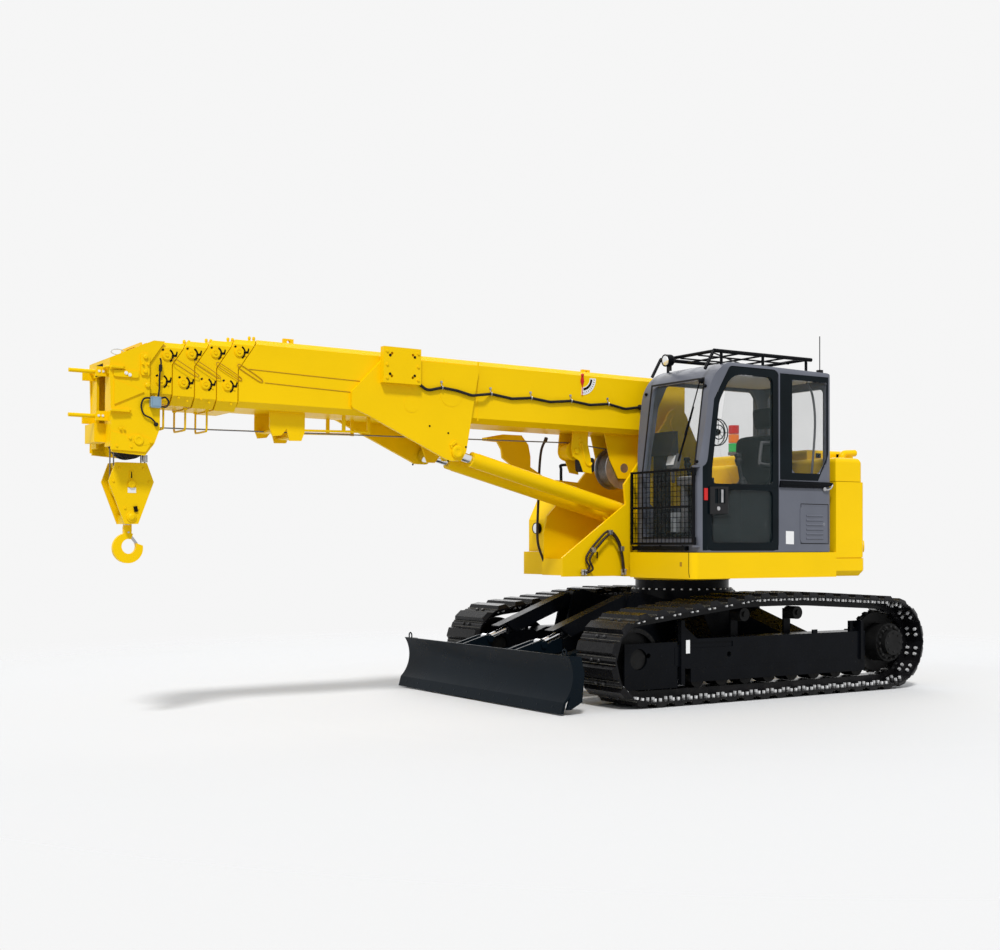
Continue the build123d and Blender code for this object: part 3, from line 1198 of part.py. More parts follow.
def collar_half(number):
    """Outer half-width, bottom and top of the collar on a boom section."""
    half, bottom, top = section_half(number)
    return (BOOM_HALF_WIDTH - 6 * (number - 1), BOOM_BOTTOM - 30 + 8 * (number - 2), top + 12)


def build_boom_section(number):
    """Telescoping section 2 to 5: hollow tube with the collar on its front end."""
    line = COLLAR_LINE + COLLAR_LENGTH * (number - 2) + COLLAR_GAP
    half, bottom, top = collar_half(number)
    front = line + COLLAR_SLANT + COLLAR_LENGTH - COLLAR_GAP
    with BuildPart() as section:
        with BuildSketch(boom_cross(line)) as ring:
            cut = BOOM_CHAMFER
            Polygon((-half, bottom + cut * 1.6), (-half + cut * 1.6, bottom),
                    (half - cut * 1.6, bottom), (half, bottom + cut * 1.6), (half, top - cut),
                    (half - cut, top), (-half + cut, top), (-half, top - cut), align=None)
        extrude(ring.sketch, amount=front - line)
        next_line = line + COLLAR_LENGTH - COLLAR_GAP
        plate(front_edge(next_line) + [(6000, BOOM_BOTTOM - 120), (6000, BOOM_TOP + 60)],
              -300, 300, plane=boom_side, mode=Mode.SUBTRACT)
        plate(front_edge(line) + [(0, BOOM_BOTTOM - 120), (0, BOOM_TOP + 60)],
              -300, 300, plane=boom_side, mode=Mode.SUBTRACT)
        start = 60 + 40 * (number - 2)
        extrude(section_outline(start, number), amount=next_line - start)
        extrude(section_outline(start - 1, number, BOOM_WALL), amount=6000, mode=Mode.SUBTRACT)
        # adjuster bosses of the wear pads, two on each side
        for side in (-1, 1):
            y0 = half - 2 if side > 0 else -half - 8
            for t in (top - 95, 30):
                boss_disc(edge_at(line, t) + COLLAR_LENGTH / 2, t, 34, y0, y0 + 10)
    save(section, f"boom_section_{number}")


def build_boom_tip():
    """Section 6 and the head with its cheeks, cross plates and jib lugs."""
    end = COLLAR_LINE + COLLAR_LENGTH * 4 + COLLAR_GAP
    half = HEAD_HALF_WIDTH
    with BuildPart() as section:
        tube(6, 240, end + 220)
        # front end trimmed under the head's sloping top plate
        plate([(end + 100, 285), (end + 128, 285), (HEAD_FRONT, 144), (HEAD_FRONT, 400),
               (end + 100, 400)], -half, half, plane=boom_side, mode=Mode.SUBTRACT)
    save(section, "boom_section_6")

    cheek = [(edge_at(end, 305), 305), (end + 130, 305), (HEAD_FRONT, 164), (HEAD_FRONT, 100),
             (HEAD_FRONT - 20, -470), (4600, -485), (4537, -401), (4500, -297), (4500, -120),
             (end + COLLAR_SLANT, -120), (end + COLLAR_SLANT, COLLAR_KNEE)]
    with BuildPart() as head:
        for y in (-half, half - HEAD_PLATE):
            plate(cheek, y, y + HEAD_PLATE, plane=boom_side)
        inner = half - HEAD_PLATE
        # top plates, level then sloping to the shoulder
        plate([(edge_at(end, 305), 305), (end + 130, 305), (HEAD_FRONT, 164), (HEAD_FRONT, 146),
               (end + 128, 287), (edge_at(end, 287), 287)], -inner, inner, plane=boom_side)
        # front plate, open round the rope sheave
        boom_block(HEAD_FRONT - 16, HEAD_FRONT, -inner, inner, 60, 150)
        boom_block(HEAD_FRONT - 30, HEAD_FRONT - 12, -inner, -100, -430, 60)
        boom_block(HEAD_FRONT - 30, HEAD_FRONT - 12, 100, inner, -430, 60)
        boom_block(HEAD_FRONT - 30, HEAD_FRONT + 62, -112, 112, -400, -272)
        # gussets on the outer faces
        for y in (-half - 10, half - 1):
            plate([(4820, 20), (4614, -53), (4818, -149)], y, y + 11, plane=boom_side)
            plate([(4840, -330), (4840, -455), (4600, -462), (4560, -400)], y, y + 11,
                  plane=boom_side)
        # diaphragm between the tip section and the cheeks
        for s0 in (end + COLLAR_SLANT + 10, end + COLLAR_SLANT + 50):
            with BuildSketch(boom_cross(s0)) as diaphragm:
                with Locations((0, (287 - 120) / 2)):
                    Rectangle(2 * inner, 287 + 120)
                add(section_sketch(6), mode=Mode.SUBTRACT)
            extrude(diaphragm.sketch, amount=12)
        # jib lugs and pins ahead of the head
        for t in (75, -225):
            for y in (-170, 150):
                boom_block(HEAD_FRONT - 30, HEAD_FRONT + 70, y, y + 20, t - 32, t + 32)
            rod(boom_xz(HEAD_FRONT - 20, 120, t), boom_xz(HEAD_FRONT + 240, 120, t), 14)
        # sheave pin in the lower cheeks
        boss_disc(SHEAVE_S, SHEAVE_T, 24, -half - 14, half + 14)
    save(head, "boom_head")

    with BuildPart() as sheaves:
        x, z = boom_point(SHEAVE_S, SHEAVE_T)
        for y in (-SHEAVE_Y, SHEAVE_Y):
            low = y - SHEAVE_WIDTH / 2 + 3
            disc(x, z, SHEAVE_R, low, low + SHEAVE_WIDTH - 6)
            disc(x, z, SHEAVE_R + 1, y - 7, y + 7, mode=Mode.SUBTRACT)
            disc(x, z, SHEAVE_R - ROPE_GROOVE, y - 7, y + 7)
        disc(x, z, 48, -SHEAVE_Y - 28, SHEAVE_Y + 28)
        disc(x, z, 24 + PIN_PLAY, -200, 200, mode=Mode.SUBTRACT)
    save(sheaves, "head_sheaves")


def boom_xz(s, y, t):
    """World point from boom coordinates."""
    x, z = boom_point(s, t)
    return (x, y, z)


def build_boom_hose():
    """Hose held along the left side of the boom, from its gland to the bolting plate."""
    side = BOOM_HALF_WIDTH + HOSE_R + 3
    raised = side + FORK_PLATE
    points = [(352, 118, side), (509, 93, side), (687, 123, side), (872, 103, side),
              (1065, 123, side), (1273, 101, side), (1458, 120, side), (1640, 102, side),
              (1838, 126, side), (1925, 112, raised), (2031, 97, raised), (2167, 126, raised),
              (2302, 139, raised), (2434, 107, raised), (2503, 154, raised)]
    with BuildPart() as hose:
        with BuildLine() as path:
            route = FilletPolyline(*[boom_xz(s, y, t) for s, t, y in points], radius=90)
        with BuildSketch(Plane(origin=route @ 0, z_dir=route % 0)) as section:
            Circle(HOSE_R)
        sweep(section.sketch, path=path.wires()[0])
        # gland where it leaves the section
        boss_disc(345, 118, 19, BOOM_HALF_WIDTH, side + HOSE_R + 3)
    print("hose", hose.part.volume / (pi * HOSE_R ** 2), "mm of section")
    save(hose, "boom_hose")


def build_hook_block():
    """Hook block cheeks with sheaves between them, and the swivelling hook."""
    x, _ = boom_point(SHEAVE_S, SHEAVE_T)
    sheave_z = BLOCK_TOP_Z - 150
    cheek = [(x - 109, BLOCK_TOP_Z), (x + 109, BLOCK_TOP_Z), (x + 158, BLOCK_TOP_Z - 132),
             (x + 48, BLOCK_BOTTOM_Z), (x - 48, BLOCK_BOTTOM_Z), (x - 158, BLOCK_TOP_Z - 132)]
    with BuildPart() as block:
        for y in (-BLOCK_HALF_Y, BLOCK_HALF_Y - 16):
            plate(cheek, y, y + 16)
        for y in (-SHEAVE_Y, SHEAVE_Y):
            disc(x, sheave_z, SHEAVE_R - 8, y - 20, y + 20)
        disc(x, sheave_z, 22, -BLOCK_HALF_Y - 10, BLOCK_HALF_Y + 10)
        box(x - 46, x + 46, -BLOCK_HALF_Y + 16, BLOCK_HALF_Y - 16, BLOCK_BOTTOM_Z,
            BLOCK_BOTTOM_Z + BLOCK_BASE)
        with Locations((x, 0, BLOCK_BOTTOM_Z)):
            Cylinder(SHANK_R + PIN_PLAY, 3 * BLOCK_BASE, mode=Mode.SUBTRACT)
        for z in (BLOCK_TOP_Z - 16, ):
            box(x - 100, x - 84, -BLOCK_HALF_Y, BLOCK_HALF_Y, z - 20, z + 16)
            box(x + 84, x + 100, -BLOCK_HALF_Y, BLOCK_HALF_Y, z - 20, z + 16)
    save(block, "hook_block")

    # ring weight of the hoist limit switch, hanging round the rear rope fall
    with BuildPart() as weight:
        with Locations((x - SHEAVE_R + ROPE_GROOVE - ROPE_R, SHEAVE_Y, BLOCK_TOP_Z + 32)):
            Cylinder(20, 50)
            Cylinder(ROPE_R + 4, 50, mode=Mode.SUBTRACT)
    save(weight, "limit_weight")

    bowl_r = 105
    throat_r = 52
    centre_z = HOOK_BOTTOM_Z + bowl_r
    with BuildPart() as hook:
        with BuildSketch(side_plane(0)) as shape:
            with Locations((x, centre_z)):
                Circle(bowl_r)
            with Locations((x - 6, centre_z + 12)):
                Circle(throat_r, mode=Mode.SUBTRACT)
            with Locations((x - 70, centre_z + 62)):
                Rectangle(92, 60, rotation=20, mode=Mode.SUBTRACT)
            with Locations((x + 2, centre_z + bowl_r + 20)):
                Rectangle(52, 50)
        extrude(shape.sketch, amount=20, both=True)
        shank_low = centre_z + bowl_r + 10
        nut_low = BLOCK_BOTTOM_Z + BLOCK_BASE + HOOK_GAP
        with Locations((x, 0, (shank_low + nut_low) / 2)):
            Cylinder(SHANK_R, nut_low - shank_low + 20)
        with Locations((x, 0, nut_low + 14)):
            Cylinder(SHANK_R + 12, 28)
        with Locations((x, 0, (shank_low + BLOCK_BOTTOM_Z - HOOK_GAP) / 2)):
            Cylinder(SHANK_R + 8, BLOCK_BOTTOM_Z - HOOK_GAP - shank_low)
    save(hook, "hook")


# ---------------------------------------------------------------- build everything
track_left = build_track(1, "track_left")
mirrored(track_left, "track_right")
for builder, name in ((build_sprocket, "sprocket"), (build_idler, "idler"),
                      (build_rollers, "rollers"), (build_track_frame, "track_frame")):
    left_side = builder(f"{name}_left")
    mirrored(left_side, f"{name}_right")
build_carbody()
build_blade()
build_blade_cylinders()
build_upper_frame()
build_brackets()
build_skirt()
build_counterweight()
build_hood()
build_right_housing()
build_cab()
build_cab_inside()
build_cab_fittings()
build_front_guard()
build_boom_base()
build_winch()
build_fork_plates()
build_luff_cylinders()
for section_number in range(2, 6):
    build_boom_section(section_number)
build_boom_tip()
build_boom_hose()
build_hook_block()
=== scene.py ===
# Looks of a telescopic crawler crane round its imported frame. Metres.
# +X points to the boom tip, +Y to the cab side, +Z up.
import json
import math

import bmesh
import bpy
from mathutils import Matrix, Vector

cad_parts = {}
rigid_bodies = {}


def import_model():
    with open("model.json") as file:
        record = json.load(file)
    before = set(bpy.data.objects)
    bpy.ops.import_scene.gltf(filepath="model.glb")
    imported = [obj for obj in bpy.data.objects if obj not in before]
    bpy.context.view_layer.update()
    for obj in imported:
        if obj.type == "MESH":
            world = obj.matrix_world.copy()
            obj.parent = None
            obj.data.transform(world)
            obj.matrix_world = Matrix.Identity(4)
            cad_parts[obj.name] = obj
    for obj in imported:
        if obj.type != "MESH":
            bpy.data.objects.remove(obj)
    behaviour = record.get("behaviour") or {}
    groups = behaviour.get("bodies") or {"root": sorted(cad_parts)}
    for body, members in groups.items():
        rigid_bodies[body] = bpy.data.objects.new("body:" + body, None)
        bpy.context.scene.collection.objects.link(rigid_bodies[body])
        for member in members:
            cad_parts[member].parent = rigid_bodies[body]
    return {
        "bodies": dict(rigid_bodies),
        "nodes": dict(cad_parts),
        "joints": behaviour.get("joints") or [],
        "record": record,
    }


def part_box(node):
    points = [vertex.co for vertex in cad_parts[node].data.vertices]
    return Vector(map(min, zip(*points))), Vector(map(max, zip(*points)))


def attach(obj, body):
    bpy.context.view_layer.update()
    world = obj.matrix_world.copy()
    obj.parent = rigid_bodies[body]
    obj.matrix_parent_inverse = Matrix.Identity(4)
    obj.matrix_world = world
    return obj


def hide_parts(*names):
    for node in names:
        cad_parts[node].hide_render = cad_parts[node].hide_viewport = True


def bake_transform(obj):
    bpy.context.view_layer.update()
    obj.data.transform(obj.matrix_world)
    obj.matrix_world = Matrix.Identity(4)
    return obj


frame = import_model()
nodes = frame["nodes"]
joints = {joint["name"]: joint for joint in frame["joints"]}
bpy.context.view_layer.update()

# ---------------------------------------------------------------- places from the frame
FOOT = Vector(joints["luff"]["pos_m"])
BOOM_DIR = Vector(joints["extend_2"]["axis"]).normalized()
BOOM_UP = Vector((-BOOM_DIR.z, 0, BOOM_DIR.x))
SIDE = Vector((0, 1, 0))
SHEAVE = Vector(joints["head_sheaves_spin"]["pos_m"])
UP = Vector((0, 0, 1))
SIDES = ((-1, "right", -SIDE), (1, "left", SIDE))


def on_boom(s, y, t):
    """World point from boom coordinates: along the boom, across it, and up from the foot."""
    return FOOT + BOOM_DIR * s + SIDE * y + BOOM_UP * t


def spoke(a, radius, y=0.0):
    """Step away from a crosswise axle at an angle, and along it."""
    return Vector((math.cos(a) * radius, y, math.sin(a) * radius))


def boom_points(points, y):
    """World points beside the boom from (along, up) pairs."""
    return [on_boom(s, y, t) for s, t in points]


# ---------------------------------------------------------------- materials
DUST_COLOUR = (0.26, 0.22, 0.18, 1)
WORN_COLOUR = (0.28, 0.27, 0.26, 1)


def new_tree(name):
    """New material, and its node tree and main shader."""
    made = bpy.data.materials.new(name)
    made.use_nodes = True
    return made, made.node_tree, made.node_tree.nodes["Principled BSDF"]


def feed(tree, socket, value):
    """Give a socket a link from another socket, or a constant."""
    if isinstance(value, bpy.types.NodeSocket):
        tree.links.new(value, socket)
    else:
        socket.default_value = value


def node(tree, kind, output, inputs, **settings):
    """One output of a new shader node with its inputs fed and its settings made."""
    made = tree.nodes.new("ShaderNode" + kind)
    for key, value in settings.items():
        setattr(made, key, value)
    for key, value in inputs.items():
        feed(tree, made.inputs[key], value)
    return made.outputs[output]


def material(name, colour, roughness, metallic=0.0, coat=0.0, spread=0.06, scale=4.0, bump=0.0,
        bump_scale=60.0, dust=0.0, dust_top=0.5, wear=0.0, shine=0.2):
    """Painted, cast or moulded surface with uneven colour, fine bump, dust and edge wear."""
    made, tree, shader = new_tree(name)
    place = tree.nodes.new("ShaderNodeTexCoord").outputs["Object"]

    def noise(size, detail):
        return node(tree, "TexNoise", "Fac", {"Vector": place, "Scale": size, "Detail": detail})

    def ramp(value, low, high, to_low=0.0, to_high=1.0):
        return node(tree, "MapRange", "Result", {"Value": value, "From Min": low, "From Max": high,
            "To Min": to_low, "To Max": to_high})

    def times(first, second):
        return node(tree, "Math", 0, {0: first, 1: second}, operation="MULTIPLY")

    def mix(factor, first, second):
        return node(tree, "Mix", "Result", {"Factor": factor, "A": first, "B": second}, data_type="RGBA")

    darker = (*[c * (1 - spread) for c in colour], 1)
    lighter = (*[min(1.0, c * (1 + spread)) for c in colour], 1)
    tone = mix(ramp(noise(scale, 4), 0.3, 0.7), darker, lighter)
    if dust:
        height = node(tree, "SeparateXYZ", "Z", {0: place})
        low = ramp(height, 0.0, dust_top, 1.0, 0.0)
        patches = ramp(noise(9, 6), 0.42, 0.68)
        tone = mix(times(times(low, patches), dust), tone, DUST_COLOUR)
    if wear:
        edge = tree.nodes.new("ShaderNodeNewGeometry").outputs["Pointiness"]
        broken = times(ramp(edge, 0.55, 0.66), ramp(noise(35, 5), 0.45, 0.6))
        tone = mix(times(broken, wear), tone, WORN_COLOUR)
    rough = ramp(noise(scale * 3, 5), 0.3, 0.7, roughness * 0.85, min(1, roughness * 1.15))
    for key, value in (("Base Color", tone), ("Roughness", rough), ("Metallic", metallic),
            ("Coat Weight", coat), ("Specular IOR Level", shine), ("Coat Roughness", 0.12)):
        feed(tree, shader.inputs[key], value)
    if bump:
        grain = {"Strength": bump, "Distance": 0.002, "Height": noise(bump_scale, 3)}
        feed(tree, shader.inputs["Normal"], node(tree, "Bump", "Normal", grain))
    return made


def glass_material(name, colour, cover):
    """Tinted cab glass that lets the interior show; cover is how much it hides."""
    made, tree, shader = new_tree(name)
    place = tree.nodes.new("ShaderNodeTexCoord").outputs["Object"]
    patches = node(tree, "TexNoise", "Fac", {"Vector": place, "Scale": 3.0})
    hides = node(tree, "MapRange", "Result", {"Value": patches, "To Min": cover, "To Max": cover + 0.05})
    for key, value in (("Base Color", (*colour, 1)), ("Roughness", 0.03), ("Metallic", 0.0), ("IOR", 1.45),
            ("Specular IOR Level", 0.3), ("Alpha", hides)):
        feed(tree, shader.inputs[key], value)
    return made


YELLOW = material("yellow_paint", (0.87, 0.55, 0.001), 0.38, shine=0.09, spread=0.035, scale=1.6, bump=0.05,
    bump_scale=220, dust=0.02, dust_top=1.4)
GREY = material("cab_grey_paint", (0.115, 0.122, 0.148), 0.36, coat=0.06, spread=0.05, bump=0.05,
    bump_scale=240)
BLACK = material("black_paint", (0.003, 0.0036, 0.005), 0.28, shine=0.06, spread=0.2, scale=5, bump=0.05,
    bump_scale=160)
BLADE_PAINT = material("blade_paint", (0.0028, 0.006, 0.0095), 0.3, shine=0.055, spread=0.12, scale=2,
    bump=0.04, bump_scale=60)
SHOE = material("track_steel", (0.0055, 0.0055, 0.0065), 0.26, shine=0.12, spread=0.3, scale=9, bump=0.2,
    bump_scale=70, dust=0.03, dust_top=0.3, wear=0.06)
WHEEL = material("wheel_steel", (0.008, 0.008, 0.008), 0.4, shine=0.1, spread=0.3, scale=12, bump=0.3,
    bump_scale=80, dust=0.03, dust_top=0.3, wear=0.08)
RUBBER = material("black_rubber", (0.009, 0.009, 0.01), 0.55, spread=0.15, scale=12, bump=0.12,
    bump_scale=300)
PLASTIC = material("black_plastic", (0.01, 0.01, 0.011), 0.45, spread=0.15, scale=10, bump=0.25,
    bump_scale=420)
TRIM = material("grey_plastic", (0.12, 0.12, 0.125), 0.55, spread=0.1, scale=10, bump=0.25, bump_scale=420)
CLOTH = material("seat_cloth", (0.008, 0.008, 0.009), 0.85, spread=0.25, scale=60, bump=0.6, bump_scale=900)
CHROME = material("hard_chrome", (0.72, 0.73, 0.75), 0.12, metallic=1.0, spread=0.04, scale=8)
STEEL = material("bare_steel", (0.42, 0.42, 0.43), 0.36, metallic=0.9, spread=0.15, scale=18, bump=0.15,
    bump_scale=220)
ROPE = material("wire_rope", (0.2, 0.2, 0.21), 0.45, metallic=0.7, spread=0.25, scale=90, bump=0.5,
    bump_scale=700)
NUT = material("plated_nut", (0.8, 0.8, 0.8), 0.25, metallic=0.35, spread=0.1, scale=25, shine=0.5)
RED = material("red_plastic", (0.55, 0.012, 0.012), 0.35, coat=0.3, spread=0.06)
ORANGE = material("orange_plastic", (0.8, 0.2, 0.01), 0.35, coat=0.3, spread=0.06)
GREEN = material("green_plastic", (0.03, 0.45, 0.12), 0.35, coat=0.3, spread=0.06)
WHITE = material("white_plate", (0.78, 0.78, 0.77), 0.4, coat=0.2, spread=0.03)
LENS = material("lamp_lens", (0.8, 0.82, 0.84), 0.08, metallic=0.5, coat=1.0, spread=0.04)
SCREEN = material("dark_screen", (0.008, 0.012, 0.018), 0.1, coat=1.0, spread=0.2)
BLUE_GREY = material("sensor_casting", (0.22, 0.33, 0.42), 0.35, metallic=0.4, spread=0.1)
DOOR = material("door_glazing_band", (0.003, 0.006, 0.008), 0.12, shine=0.08, spread=0.25)
# dark brown-black: real seams, and painted shade in holes, slots, louvre gaps and beside bosses
DARK = material("dark_seam_and_painted_shade", (0.008, 0.006, 0.004), 0.6, spread=0.3, shine=0.05)
SHADED = material("shaded_yellow", (0.4, 0.2, 0.01), 0.5, spread=0.1)
LINING = material("roof_lining", (0.5, 0.5, 0.49), 0.8, spread=0.06, scale=20, bump=0.2, bump_scale=500)
WHITE_GREY = material("pale_grey_panel", (0.42, 0.44, 0.45), 0.5, spread=0.05)
BOLT_DARK = material("dark_bolt", (0.05, 0.05, 0.052), 0.35, metallic=0.6, spread=0.3)
LIP = material("worn_lip", (0.13, 0.125, 0.11), 0.4, metallic=0.5, spread=0.35, scale=14)
HOSE = material("brown_black_hose", (0.03, 0.018, 0.012), 0.5, spread=0.3, scale=18)
WIRE = material("bright_wire", (0.62, 0.62, 0.6), 0.35, metallic=0.6, spread=0.2, scale=60)
GLAZING = glass_material("cab_glazing", (0.1, 0.13, 0.13), 0.07)
TINT = glass_material("dark_glazing", (0.003, 0.006, 0.008), 0.42)

# the slot of each finish, unless a piece names another
SLOTS = {}
SLOTS.update(dict.fromkeys((YELLOW, SHADED), "yellow"))
SLOTS.update(dict.fromkeys((RUBBER, DARK, HOSE), "black_rubber"))
SLOTS.update(dict.fromkeys((BLACK, PLASTIC, TRIM, WHITE, RED, SCREEN), "black_plastic"))
SLOTS.update(dict.fromkeys((STEEL, ROPE, BLUE_GREY), "drum_steel"))
SLOTS.update(dict.fromkeys((NUT, WIRE), "bright_rod"))
SLOTS.update(dict.fromkeys((DOOR, GLAZING, TINT, LENS, GREEN), "glazing"))
SLOTS.update(dict.fromkeys((BOLT_DARK, LIP, WHEEL), "track_steel"))
SLOTS.update(dict.fromkeys((BLADE_PAINT,), "blade_black"))
SLOTS.update(dict.fromkeys((LINING, WHITE_GREY), "cab_grey"))

# the look of each CAD solid
CAD_FINISH = {}
CAD_FINISH[YELLOW] = ("bracket_left", "bracket_right", "skirt", "counterweight", "rear_hood",
    "right_housing", "centre_cover", "luff_barrels", "boom_base", "winch_plates", "fork_plates",
    "bolting_plates", "boom_section_2", "boom_section_3", "boom_section_4", "boom_section_5",
    "boom_section_6", "boom_head", "hook_block", "hook", "upper_frame")
CAD_FINISH[GREY] = ("cab_floor", "cab_left", "cab_right", "cab_front", "cab_rear", "cab_roof")
CAD_FINISH[BLACK] = ("carbody", "track_frame_left", "track_frame_right", "blade_cylinders", "engine",
    "front_guard", "roof_guard")
CAD_FINISH[BLADE_PAINT] = ("blade",)
CAD_FINISH[SHOE] = ("track_left", "track_right")
CAD_FINISH[WHEEL] = ("sprocket_left", "sprocket_right", "idler_left", "idler_right", "rollers_left",
    "rollers_right")
CAD_FINISH[CHROME] = ("blade_rods", "luff_rods")
CAD_FINISH[STEEL] = ("winch_drum", "limit_weight")
CAD_FINISH[PLASTIC] = ("roof_fittings", "consoles")
CAD_FINISH[RUBBER] = ("head_sheaves", "boom_hose")
CAD_FINISH[CLOTH] = ("seat",)
CAD_FINISH[GLAZING] = ("cab_glass",)
CAD_FINISH[DOOR] = ("cab_door",)
for finish, names in CAD_FINISH.items():
    for node_name in names:
        mesh = nodes[node_name].data
        mesh.materials.clear()
        mesh.materials.append(finish)


# ---------------------------------------------------------------- shape tools
TIP_R = 0.0002                    # closes a turned form
class Piece:
    """Collects shapes in one mesh, then puts it on its body with its finish."""

    def __init__(self, name, body, finish, slot=None):
        self.name, self.body, self.finish = name, body, finish
        self.slot = slot or SLOTS[finish]
        self.bm = bmesh.new()

    def skin(self, first, second):
        """Faces between two closed rows of equally many vertices."""
        for index in range(len(first)):
            after = (index + 1) % len(first)
            self.bm.faces.new((first[index], first[after], second[after], second[index]))

    def hull(self, rings, caps=True, loop=False):
        """Skin over rings of equally many points."""
        made = [[self.bm.verts.new(p) for p in ring] for ring in rings]
        pairs = list(zip(made, made[1:]))
        if loop:
            pairs.append((made[-1], made[0]))
        for first, second in pairs:
            self.skin(first, second)
        if caps and not loop:
            self.bm.faces.new(list(reversed(made[0])))
            self.bm.faces.new(made[-1])
        return self

    def slab(self, points, offset):
        """Flat polygon pushed out by an offset vector."""
        start = [Vector(p) for p in points]
        return self.hull([start, [p + Vector(offset) for p in start]])

    def side_slab(self, points, y, thick, at=(0, 0)):
        """Flat shape on a crosswise plane, given by (x, z) points from a place on it."""
        return self.slab([(at[0] + x, y, at[1] + z) for x, z in points], SIDE * thick)

    def boom_slab(self, points, y, thick, at=(0, 0)):
        """The same beside the boom, its points (along, up) in boom coordinates."""
        return self.slab([on_boom(at[0] + s, y, at[1] + t) for s, t in points], SIDE * thick)

    def side_ring(self, outer, inner, y, thick):
        """Flat band between two outlines of equally many (x, z) points."""
        return self.ring([(x, y, z) for x, z in outer], [(x, y, z) for x, z in inner], (0, thick, 0))

    def ring(self, outer, inner, offset):
        """Flat band between two outlines of equally many points, pushed out."""
        rows = []
        for line in (outer, inner):
            near = [self.bm.verts.new(Vector(p)) for p in line]
            far = [self.bm.verts.new(Vector(p) + Vector(offset)) for p in line]
            rows += [near, far]
        near_out, far_out, near_in, far_in = rows
        self.skin(near_out, near_in)
        self.skin(far_in, far_out)
        self.skin(far_out, near_out)
        self.skin(near_in, far_in)
        return self

    def box(self, low, high, bevel=0.0):
        """Box between two corners, its upright edges cut by a bevel."""
        (x0, y0, z0), (x1, y1, z1) = low, high
        b = bevel
        outline = [(x0 + b, y0), (x1 - b, y0), (x1, y0 + b), (x1, y1 - b), (x1 - b, y1), (x0 + b, y1),
            (x0, y1 - b), (x0, y0 + b)]
        if not b:
            outline = [(x0, y0), (x1, y0), (x1, y1), (x0, y1)]
        return self.slab([(x, y, z0) for x, y in outline], (0, 0, z1 - z0))

    def round(self, start, end, radius, end_radius=None, sides=20):
        """Cylinder or cone between two points."""
        start, end = Vector(start), Vector(end)
        axis = (end - start).normalized()
        rings = []
        for centre, size in ((start, radius), (end, end_radius or radius)):
            rings.append(circle(centre, axis, size, sides))
        return self.hull(rings)

    def lathe(self, centre, axis, profile, sides=28, closed=True):
        """Turned form from (along the axis, radius) points, its end closed flat."""
        centre, axis = Vector(centre), Vector(axis).normalized()
        if closed and profile[-1][1] > TIP_R:
            profile = [*profile, (profile[-1][0], TIP_R)]
        rings = [circle(centre + axis * along, axis, radius, sides) for along, radius in profile]
        return self.hull(rings)

    def pipe(self, points, radius, sides=10, smooth=8, loop=False):
        """Round bar or hose along a smooth line through the points."""
        line = smooth_line([Vector(p) for p in points], smooth, loop)
        rings = []
        normal = None
        for index, point in enumerate(line):
            ahead = line[(index + 1) % len(line)] if loop or index + 1 < len(line) else point
            behind = line[index - 1] if loop or index else point
            along = (ahead - behind).normalized()
            if normal is None:
                normal = along.orthogonal().normalized()
            normal = (normal - along * normal.dot(along)).normalized()
            other = along.cross(normal)
            rings.append([point + (normal * math.cos(a) + other * math.sin(a)) * radius
                for a in turn(sides)])
        return self.hull(rings, loop=loop)

    def bolt(self, centre, axis, radius=0.011, height=0.008):
        """Hexagon head on a round washer."""
        centre, axis = Vector(centre), Vector(axis).normalized()
        self.round(centre, centre + axis * height * 0.25, radius * 1.25, sides=14)
        return self.round(centre, centre + axis * height, radius, sides=6)

    def bolts(self, centres, axis, radius=0.011, height=0.008):
        """Several alike hexagon heads."""
        for centre in centres:
            self.bolt(centre, axis, radius, height)
        return self

    def done(self, bevel=0.0, smooth_angle=40):
        """Close the mesh, soften its edges and let it ride on its body."""
        bmesh.ops.recalc_face_normals(self.bm, faces=self.bm.faces)
        mesh = bpy.data.meshes.new(self.name)
        self.bm.to_mesh(mesh)
        self.bm.free()
        mesh.materials.append(self.finish)
        made = bpy.data.objects.new(self.name, mesh)
        bpy.context.scene.collection.objects.link(made)
        for polygon in mesh.polygons:
            polygon.use_smooth = True
        mesh.set_sharp_from_angle(angle=math.radians(smooth_angle))
        if bevel:
            modifier = made.modifiers.new("soft_edges", "BEVEL")
            modifier.width = bevel
            modifier.segments = 2
            modifier.limit_method = "ANGLE"
        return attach(made, self.body) if self.body else made


def oblong(x0, z0, x1, z1):
    """Corners of an upright oblong."""
    return [(x0, z0), (x1, z0), (x1, z1), (x0, z1)]


def turn(sides):
    """Evenly spaced angles round a circle."""
    return [2 * math.pi * index / sides for index in range(sides)]


def circle(centre, axis, radius, sides):
    """Points round an axis."""
    first = axis.orthogonal().normalized()
    second = axis.cross(first)
    return [centre + (first * math.cos(a) + second * math.sin(a)) * radius for a in turn(sides)]


def smooth_line(points, steps, loop=False):
    """Catmull-Rom line through the points."""
    if steps < 2 or len(points) < 3:
        return points
    count = len(points)
    line = []
    for index in range(count if loop else count - 1):
        if loop:
            p = [points[(index + k) % count] for k in (-1, 0, 1, 2)]
        else:
            p = [points[min(max(index + k, 0), count - 1)] for k in (-1, 0, 1, 2)]
        for step in range(steps):
            u = step / steps
            line.append(0.5 * (2 * p[1] + (p[2] - p[0]) * u + (2 * p[0] - 5 * p[1] + 4 * p[2] - p[3])
                * u ** 2 + (3 * p[1] - p[0] - 3 * p[2] + p[3]) * u ** 3))
    if not loop:
        line.append(points[-1])
    return line


# ---------------------------------------------------------------- stage, light and camera
EYE = Vector((7.942, 9.472, 1.2465))
HEADING = math.radians(32.4667)   # how far the view turns from -Y towards -X
LENS_MM = 49.644
SHIFT_UP = 0.07


def place_object(name, data, aim, location=(0, 0, 0)):
    """New lamp or camera that looks along a direction."""
    made = bpy.data.objects.new(name, data)
    made.location = location
    made.rotation_mode = "QUATERNION"
    made.rotation_quaternion = Vector(aim).to_track_quat("-Z", "Y")
    bpy.context.scene.collection.objects.link(made)
    return made


